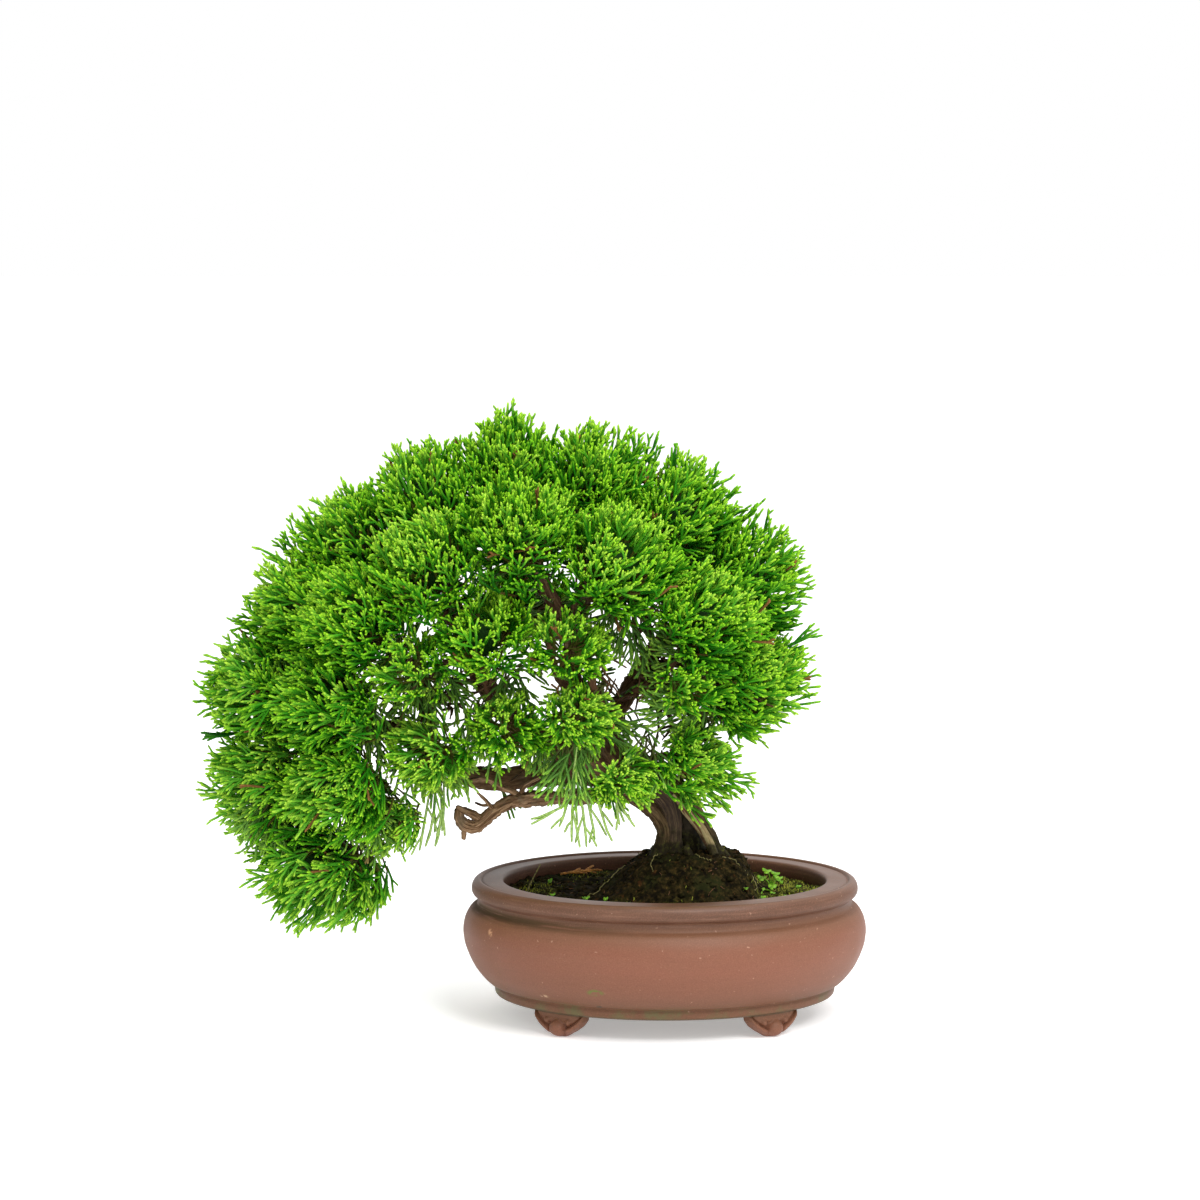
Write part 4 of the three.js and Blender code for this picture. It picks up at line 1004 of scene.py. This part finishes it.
# Foliage
def read_mass(name):
    """Middle, spray tips and core of a foliage solid, in millimetres at the pot's centre."""
    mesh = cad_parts[name].data
    places = np.empty(3 * len(mesh.vertices), np.float32)
    mesh.vertices.foreach_get("co", places)
    places = places.reshape(-1, 3).astype(float) / MM - POT_CENTRE
    mesh.calc_loop_triangles()
    corners = np.empty(3 * len(mesh.loop_triangles), np.int32)
    mesh.loop_triangles.foreach_get("vertices", corners)
    _, first, joined = np.unique(np.round(places, 2), axis=0, return_index=True, return_inverse=True)
    faces = joined.ravel()[corners].reshape(-1, 3)
    places = places[first]
    is_tip = np.bincount(faces.ravel(), minlength=len(places)) == 3
    middle = places[~is_tip].mean(0)
    side_faces = faces[is_tip[faces].any(1)]
    side_faces = np.array([np.roll(face, -int(np.argmax(is_tip[face]))) for face in side_faces])
    side_faces = side_faces[np.argsort(side_faces[:, 0], kind="stable")].reshape(-1, 3, 3)
    first_corner, second_corner = side_faces[:, 0, 1], side_faces[:, 0, 2]
    third_corner = side_faces[:, :, 1:].sum((1, 2)) // 2 - first_corner - second_corner
    spray_bases = np.column_stack([first_corner, second_corner, third_corner])
    core = np.concatenate([faces[~is_tip[faces].any(1)], spray_bases])
    tips = places[is_tip]
    return {"node": name, "middle": middle, "tips": tips, "places": places,
            "core": core, "size": np.linalg.norm(tips - middle, axis=1).max()}


def bezier(start, control, end, shares):
    shares = np.asarray(shares)[None, :, None]
    start, control, end = start[:, None], control[:, None], end[:, None]
    return (1 - shares) ** 2 * start + 2 * shares * (1 - shares) * control + shares ** 2 * end


def along_cord(start, control, end, share):
    """A place on each cord and the cord's way there, at a share of its own."""
    share = share[:, None]
    place = (1 - share) ** 2 * start + 2 * share * (1 - share) * control + share ** 2 * end
    way = unit((1 - share) * (control - start) + share * (end - control))
    return place, way


def grow_cords(start, control, end, shares, thickness, fresh, tone, sides):
    """Cords with, for each point, its freshness and its tone."""
    centres = bezier(start, control, end, shares)
    radii = np.broadcast_to(CORD_RADIUS * np.array(thickness), centres.shape[:2])
    points, faces = tubes(centres, radii, sides, blunt=1.5)
    rods, rings = radii.shape
    ring_fresh = np.repeat(np.broadcast_to(fresh[:-1], (rods, rings))[:, :, None], sides, axis=2)
    ring_tone = np.broadcast_to(tone[:, None, None] + np.arange(sides) * 0.012 / sides, (rods, rings, sides))
    u = np.concatenate([ring_fresh.reshape(rods, -1), np.full((rods, 1), fresh[-1])], axis=1)
    v = np.concatenate([ring_tone.reshape(rods, -1), tone[:, None]], axis=1)
    return points, faces, u.ravel(), np.clip(v, 0.001, 0.999).ravel()


def more_tips(mass, share):
    """The solid's spray tips, with some more between neighbours on the crown's outside."""
    tips, middle = mass["tips"], mass["middle"]
    ways, reach = unit(tips - middle), np.linalg.norm(tips - middle, axis=1)
    likeness = ways @ ways.T - 2 * np.eye(len(tips))
    neighbour = np.argsort(-likeness, axis=1)[:, 1]
    between = unit(ways + ways[neighbour] + draw.normal(0, 0.12, ways.shape))
    outside = np.sum(between * unit(tips - CROWN_HEART), axis=1) > -0.25
    chosen = outside & (draw.random(len(tips)) < share)
    depth = draw.uniform(0.74, 0.98, len(tips)) * 0.5 * (reach + reach[neighbour])
    return np.vstack([tips, (middle + scaled(between, depth))[chosen], mass["outer_tips"]])


def room_beside(tips, mass, masses):
    """How much nearer each tip is to its own mass than to the next one: little in a crease."""
    own = np.linalg.norm(tips - mass["middle"], axis=1)
    others = np.array([other["middle"] for other in masses if other is not mass])
    return np.linalg.norm(tips[:, None] - others, axis=2).min(1) - own


def share_outer_tips(masses):
    """Gives each of the outer tips to the foliage mass that it is nearest to."""
    middles = np.array([mass["middle"] for mass in masses])
    nearest = np.argmin(np.linalg.norm(OUTER_TIPS[:, None] - middles, axis=2), axis=1)
    for number, mass in enumerate(masses):
        mass["outer_tips"] = OUTER_TIPS[nearest == number]


def foliage_of(mass, masses):
    """All scale cords of one foliage mass, and its core of painted shade."""
    is_small = mass["size"] < SMALL_MASS
    is_low = mass["middle"][2] < LOW_MASS and not is_small
    kind = "small" if is_small else "low" if is_low else "high"
    tips, middle = more_tips(mass, EXTRA_TIPS[kind]), mass["middle"]
    count = len(tips)
    radial, growth = unit(tips - middle), unit(middle - CROWN_HEART)
    in_crease = 1 - smoothstep(room_beside(tips, mass, masses), 1, 17)
    height = smoothstep(tips[:, 2], 80, 250)
    shift = draw.uniform(-3.5, 1.2, count) + draw.uniform(-3.5, 1.5, count) * (1 - height)
    tips = tips + scaled(radial, shift)
    along_growth = np.clip(smoothstep(radial @ growth, -0.75, 0.3) * 0.85, 0, 1)
    ending = scaled(radial, 0.95 - 0.65 * along_growth) + scaled(np.tile(growth, (count, 1)), along_growth)
    ending = unit(ending + [0, 0, 0.14] + draw.normal(0, 0.36 if is_low else 0.24, (count, 3)))
    upper = smoothstep(radial[:, 2] + 0.5 * growth[2], -0.3, 0.9)
    bushy = np.clip(0.45 * upper + 0.6 * height - 0.1 + draw.normal(0, 0.14, count), 0, 1)
    length = np.clip((1.15 - 0.2 * height) * np.linalg.norm(tips - middle, axis=1), 12, LONGEST_CORD)
    control = tips - scaled(ending, 0.5 * length)
    start = control - scaled(unit(0.75 * radial + 0.25 * ending), 0.5 * length)
    at_right = smoothstep(tips[:, 0], -20, 30)
    # Tone carries painted light and shade. Painted light makes cords lighter low down and where they face up.
    # Painted shade darkens them in the creases between masses. They are also a little darker to the right.
    tone = 0.95 - 0.42 * height + 0.21 * upper - (0.38 - 0.16 * height) * in_crease - 0.06 * at_right
    tone = tone + draw.normal(0, 0.14 if is_low else 0.09, count) + draw.normal(0, 0.04)
    across = unit(np.cross(ending, radial) + draw.normal(0, 0.3, (count, 3)))
    hidden = (radial @ growth < -0.25) & (in_crease > 0.45) & (not is_small)
    parts = []
    twigs_here = 6 if is_low else TWIGS_PER_CORD
    for chosen, twigs, has_nubs in ((~hidden, twigs_here, True), (hidden, 2, False)):
        if chosen.any():
            parts += grow_sprays(start[chosen], control[chosen], tips[chosen], across[chosen], bushy[chosen],
                                 tone[chosen], twigs, has_nubs)
    if not is_small:
        parts.append(painted_shade_core(mass))
    points, faces, fresh, tone = merged(parts)
    if is_low:
        fresh = np.maximum(fresh ** 1.6, np.minimum(fresh, 0.06))
    return points, faces, fresh, tone


def grow_sprays(start, control, tips, across, bushy, tone, twigs=TWIGS_PER_CORD, has_nubs=True):
    """Flat sprays: a main cord, side cords to its left and right in turn, and short side shoots."""
    count = len(tips)
    dead = draw.random(count) < WITHERED_SPRAYS
    tone = np.where(dead, 0.02, np.clip(tone, 0.22, 0.98))
    parts = [grow_cords(start, control, tips, [0, 0.45, 0.85, 0.97], [0.75, 1, 1, 0.75],
                        [0, 0.005, 0.45, 0.95, 1], tone, MAIN_SIDES)]
    length = np.linalg.norm(tips - start, axis=1)
    ending = unit(tips - control)
    dense = bushy > 0.45
    for number in range(twigs):
        share = 0.24 + 0.62 * (number + draw.uniform(0.1, 0.9, count)) / twigs
        foot, along = along_cord(start, control, tips, share)
        turn = 1 - 2 * (number % 2)
        side = unit(turn * across + draw.normal(0, 0.28, (count, 3)))
        opening = np.radians(draw.uniform(22, 38, count) + 10 * bushy)
        way = scaled(along, np.cos(opening)) + scaled(side, np.sin(opening))
        twig_length = (1 - share) * length * draw.uniform(0.65, 0.95, count) * (1 - 0.2 * bushy)
        twig_length = np.clip(twig_length + draw.uniform(2, 5, count), 4, 20)
        bend = foot + scaled(way, 0.5 * twig_length)
        end = bend + scaled(unit(way + 0.7 * ending), 0.5 * twig_length)
        dry = dead | (draw.random(count) < DRY_SIDE_CORDS)
        twig_tone = np.where(dry, 0.03, np.clip(tone + draw.normal(0.02, 0.07, count), 0.18, 0.99))
        parts.append(grow_cords(foot, bend, end, [0, 0.5, 0.92], [0.75, 0.95, 0.85],
                                [0.05, 0.08, 0.85, 1], twig_tone, TWIG_SIDES))
        if has_nubs:
            places = draw.uniform(0.5, 0.8, count)
            parts.append(nubs(foot, bend, end, side, places, twig_tone, bushy, -turn))
            if dense.any():
                parts.append(nubs(foot[dense], bend[dense], end[dense], side[dense], places[dense] + 0.14,
                                  twig_tone[dense], bushy[dense], turn))
    if has_nubs:
        parts.append(nubs(start, control, tips, across, draw.uniform(0.68, 0.86, count), tone, bushy, 1))
    return parts


def nubs(start, control, end, across, share, tone, bushy, turn):
    """A short side shoot near the end of each cord."""
    count = len(start)
    foot, along = along_cord(start, control, end, share)
    side = unit(turn * across + draw.normal(0, 0.5, (count, 3)))
    way = unit(along + scaled(side, draw.uniform(0.5, 0.9, count)))
    length = draw.uniform(2.6, 5.2, count) * (1.1 - 0.25 * bushy)
    tip = foot + scaled(unit(way + 0.5 * along), length)
    return grow_cords(foot, foot + scaled(way, 0.5 * length), tip, [0, 0.85], [0.9, 0.95], [0.1, 0.8, 1],
                      np.clip(tone + 0.04, 0, 0.99), NUB_SIDES)


def painted_shade_core(mass):
    """A shrunken copy of the mass's solid in its middle, in near-black green: painted shade inside a dense
    mass.
    """
    points = mass["middle"] + CORE_SIZE * (mass["places"] - mass["middle"])
    return points, mass["core"], np.full(len(points), 0.2), np.full(len(points), 0.12)


def make_foliage(leaf, faded_leaf, pale_leaf, masses, limb_places):
    share_outer_tips(masses)
    for mass in masses:
        number = mass["node"].split("_")[1]
        add_sprays(f"juniper_foliage_{number}", [foliage_of(mass, masses)], leaf, [mass["node"]])
    add_sprays("hanging_twigs", hanging_twigs(), pale_leaf)
    add_sprays("front_fans", front_fans(), faded_leaf)
    add_sprays("inner_sprays", inner_sprays(limb_places, INNER_SPRAY_COUNT), faded_leaf)


def add_sprays(name, parts, leaf, replaced=()):
    points, faces, fresh, tone = merged(parts)
    add_piece(name, points, faces, leaf, "juniper_foliage", replaced,
              corner_uv=np.stack([fresh[faces], tone[faces]], axis=-1), uv_name="OFBake")


def hanging_twigs():
    """Thin open twigs through a foot, a middle and a tip each."""
    lines = np.array(HANGING_TWIGS, float)
    start, end = lines[:, 0], lines[:, -1]
    count = len(lines)
    control = 2 * lines[:, 1] - 0.5 * (start + end)
    across = unit(draw.normal(0, 1, (count, 3)) * [1, 0.3, 0.3])
    return grow_sprays(start, control, end, across, np.zeros(count), np.full(count, HANGING_TONE), twigs=2,
                       has_nubs=False)


def front_fans():
    """Pale open fans, two sprays to each tip."""
    start = np.array([foot for foot, tips in FRONT_FANS for _ in tips] * 2, float)
    tips = np.array([tip for _, tips in FRONT_FANS for tip in tips] * 2, float)
    count = len(tips)
    start, tips = start + draw.normal(0, 2.0, (count, 3)), tips + draw.normal(0, 3.0, (count, 3))
    control = 0.5 * (start + tips) + draw.normal(0, 2.5, (count, 3)) + [0, 0, 3]
    across = unit(np.cross(tips - start, [0, 1, 0]) / 20 + draw.normal(0, 0.35, (count, 3)))
    tone = draw.normal(FAN_TONE, 0.1, count)
    return grow_sprays(start, control, tips, across, draw.uniform(0, 0.4, count), tone)


def inner_sprays(limb_places, count):
    """Sparse, shaded sprays straight from the limbs."""
    start = limb_places[draw.integers(len(limb_places), size=count)]
    way = unit(draw.normal(0, 1, (count, 3)) + [0, -0.5, 0.1])
    length = draw.uniform(16, 30, count)
    control = start + scaled(way, 0.5 * length)
    end = control + scaled(unit(way + draw.normal(0, 0.35, (count, 3))), 0.5 * length)
    across = unit(np.cross(way, draw.normal(0, 1, (count, 3))))
    tone = draw.normal(SHADED_TONE, 0.12, count)
    return grow_sprays(start, control, end, across, np.zeros(count), tone, has_nubs=False)


# Small plants
def round_leaf(size, turn, tilt):
    """A small round leaf that starts at its stalk, turned about the stalk and tilted to the front."""
    around = round_angles(LEAF_CORNERS)
    rim_x = size * (0.95 + np.cos(around) * (1 + 0.12 * np.cos(2 * around)))
    leaf = np.column_stack([rim_x, size * 0.85 * np.sin(around), 0.25 * np.cos(around * 2) + 0.25])
    leaf = np.vstack([leaf, [size, 0, -0.1], leaf - [0, 0, 0.25], [size, 0, -0.35]])
    turning = Euler((tilt, 0, 0)).to_matrix() @ Euler((0, 0, turn)).to_matrix()
    turned = leaf @ np.array(turning.transposed())
    here = np.arange(LEAF_CORNERS)
    ahead = (here + 1) % LEAF_CORNERS
    below = LEAF_CORNERS + 1
    top = np.column_stack([here, ahead, np.full(LEAF_CORNERS, LEAF_CORNERS)])
    last = np.full(LEAF_CORNERS, below + LEAF_CORNERS)
    bottom = np.column_stack([ahead + below, here + below, last])
    rim = np.vstack([np.column_stack([here, here + below, ahead + below]),
                     np.column_stack([here, ahead + below, ahead])])
    return turned, np.vstack([top, bottom, rim])


def leafy_stems(foot, ends, radius, leaf_sizes):
    """Upright curved stems from one foot, with three leaves at the end of each."""
    control = foot + (ends - foot) * [0.1, 0.1, 0.9]
    centres = bezier(np.repeat(foot[None], len(ends), 0), control, ends, np.linspace(0, 1, 9))
    radii = np.broadcast_to(np.linspace(radius, 0.6 * radius, 9), centres.shape[:2])
    parts = [tubes(centres, radii, 6)]
    for end in ends:
        for turn in range(3):
            size = draw.uniform(*leaf_sizes)
            leaf, faces = round_leaf(size, turn * 2.1 + draw.uniform(0, 1), draw.uniform(0.3, 0.9))
            parts.append((leaf + end, faces))
    return parts


def make_weeds(green):
    foot = np.array([*WEED_FOOT, float(soil_height(*WEED_FOOT)) - 1.5])
    weed = leafy_stems(foot, foot + np.array(WEED_STEMS, float), 0.5, (0.9, 1.5))
    add_piece("weed", *merged(weed), green, "sprout_leaf", ["weed_sprout"])
    parts = []
    for x, y in SEEDLINGS:
        foot = np.array([x, y, float(soil_height(x, y)) - 0.5])
        ends = foot + draw.uniform((-1, -1, 1.5), (1, 1, 3), (2, 3))
        parts += leafy_stems(foot, ends, 0.25, (0.45, 0.85))
    add_piece("seedlings", *merged(parts), green, "sprout_leaf")


def make_sprig(dry):
    """A dry sprig on the soil: a stem and short twigs to either side."""
    line = np.array(SPRIG_LINE, float)
    stem = np.column_stack([line, soil_height(line[:, 0], line[:, 1]) + SPRIG_LIFT, [0.65, 0.6, 0.5]])
    centres, radii, _ = smooth_line(stem, 14)
    parts = [rod(centres, radii, 8)]
    starts = centres[np.arange(3, 12, 2)]
    along = unit(centres[-1] - centres[0])
    sides = np.where(np.arange(len(starts))[:, None] % 2, 1.0, -1.0) * np.array([-along[1], along[0], 0.15])
    ways = unit(along + 0.45 * sides + draw.normal(0, 0.1, starts.shape))
    ends = starts + scaled(ways, draw.uniform(5.0, 10.0, len(starts)))
    ends[:, 2] = np.maximum(ends[:, 2], soil_height(ends[:, 0], ends[:, 1]) + 0.8)
    twigs = bezier(starts, 0.5 * (starts + ends) + 0.4, ends, [0, 0.5, 0.95])
    parts.append(tubes(twigs, np.broadcast_to([0.6, 0.65, 0.5], twigs.shape[:2]), 6))
    add_piece("dry_sprig", *merged(parts), dry, "dry_sprig", ["fallen_sprig"])


# Stage
def make_stage():
    floor_material, tree, shader, _ = new_material("floor_white")
    for key, value in (("Base Color", (0.95, 0.95, 0.95, 1)), ("Emission Color", (1, 1, 1, 1)),
                       ("Emission Strength", 0.34), ("Roughness", 0.9), ("Specular IOR Level", 0.1)):
        shader.inputs[key].default_value = value
    bpy.ops.mesh.primitive_plane_add(size=30, location=(0, 0, 0))
    floor = bpy.context.object
    floor.name = "floor"
    floor.data.materials.append(floor_material)
    world = bpy.data.worlds.new("studio")
    world.use_nodes = True
    tree = world.node_tree
    way = node(tree, "ShaderNodeTexCoord").outputs["Generated"]
    to_right = along_axis(tree, way, 0)
    soft_light = between(tree, to_right, -0.9, 0.1, 0.58, 0.96)
    seen = node(tree, "ShaderNodeLightPath").outputs["Is Camera Ray"]
    strength = maths(tree, "MAXIMUM", soft_light, seen)
    tree.links.new(strength, tree.nodes["Background"].inputs["Strength"])
    tree.nodes["Background"].inputs["Color"].default_value = (1, 1, 1, 1)
    bpy.context.scene.world = world
    for name, place, size, energy in (
        ("key", (0.9, -1.6, 2.0), 1.3, 42.0),
        ("fill", (-1.2, -1.6, 1.6), 1.8, 4.0),
        ("top", (0.0, 0.3, 2.2), 1.6, 16.0),
    ):
        light = bpy.data.lights.new(name, "AREA")
        light.shape = "DISK"
        light.size = size
        light.energy = energy
        lamp = bpy.data.objects.new(name, light)
        lamp.location = place
        lamp.rotation_euler = (Vector((0, 0, 0.15)) - Vector(place)).to_track_quat("-Z", "Y").to_euler()
        bpy.context.scene.collection.objects.link(lamp)


def make_camera():
    data = bpy.data.cameras.new("camera")
    data.sensor_width = SENSOR_METRES / MM
    data.lens = CAMERA_LENS_METRES / MM
    camera = bpy.data.objects.new("camera", data)
    camera.location = pot_point(*CAMERA_PLACE)
    camera.rotation_euler = (math.radians(90 - CAMERA_DOWN_DEGREES), 0, 0)
    bpy.context.scene.collection.objects.link(camera)
    bpy.context.scene.camera = camera
    bpy.context.scene.view_settings.view_transform = "Standard"


make_camera()
make_stage()
masses = [read_mass(name) for name in sorted(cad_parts) if name.startswith("foliage_")]
make_pot(stoneware_material())
earth = soil_material()
make_soil(earth)
make_clods(earth)
make_moss(plain_plant_material("moss", (0.040, 0.048, 0.004), (0.34, 0.36, 0.022), 0.8, 420.0))
dry = plain_plant_material("dry_twigs", (0.16, 0.055, 0.008), (0.60, 0.26, 0.050), 0.8)
old_leaf = plain_plant_material("litter", (0.040, 0.015, 0.005), (0.17, 0.070, 0.022), 0.85)
pale = plain_plant_material("pale_roots", (0.08, 0.07, 0.015), (0.30, 0.26, 0.09), 0.8)
make_litter(old_leaf, pale)
bark = bark_material("juniper_bark", (0.005, 0.003, 0.001), (0.062, 0.038, 0.015), (0.19, 0.125, 0.060),
                     mossy=True)
dead_bark = bark_material("dead_bark", (0.008, 0.005, 0.002), (0.120, 0.062, 0.028), (0.34, 0.210, 0.118),
                          mossy=False)
limb_places, limb_radii = limb_middles()
make_wood(bark, dead_bark, masses, limb_places, limb_radii)
pale_leaf = plain_plant_material("hanging_green", (0.17, 0.33, 0.05), (0.40, 0.55, 0.15), 0.6)
leaf, faded_leaf = foliage_material("juniper_foliage", 0.0), foliage_material("inner_foliage", 0.3)
make_foliage(leaf, faded_leaf, pale_leaf, masses, limb_places)
make_weeds(plain_plant_material("weed_green", (0.09, 0.29, 0.008), (0.27, 0.52, 0.022), 0.5))
make_sprig(dry)
plastic = plain_plant_material("drain_plastic", (0.012, 0.013, 0.012), (0.03, 0.032, 0.03), 0.6)
for name in ("drain_mesh_left", "drain_mesh_right"):
    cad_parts[name].data.materials.clear()
    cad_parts[name].data.materials.append(plastic)
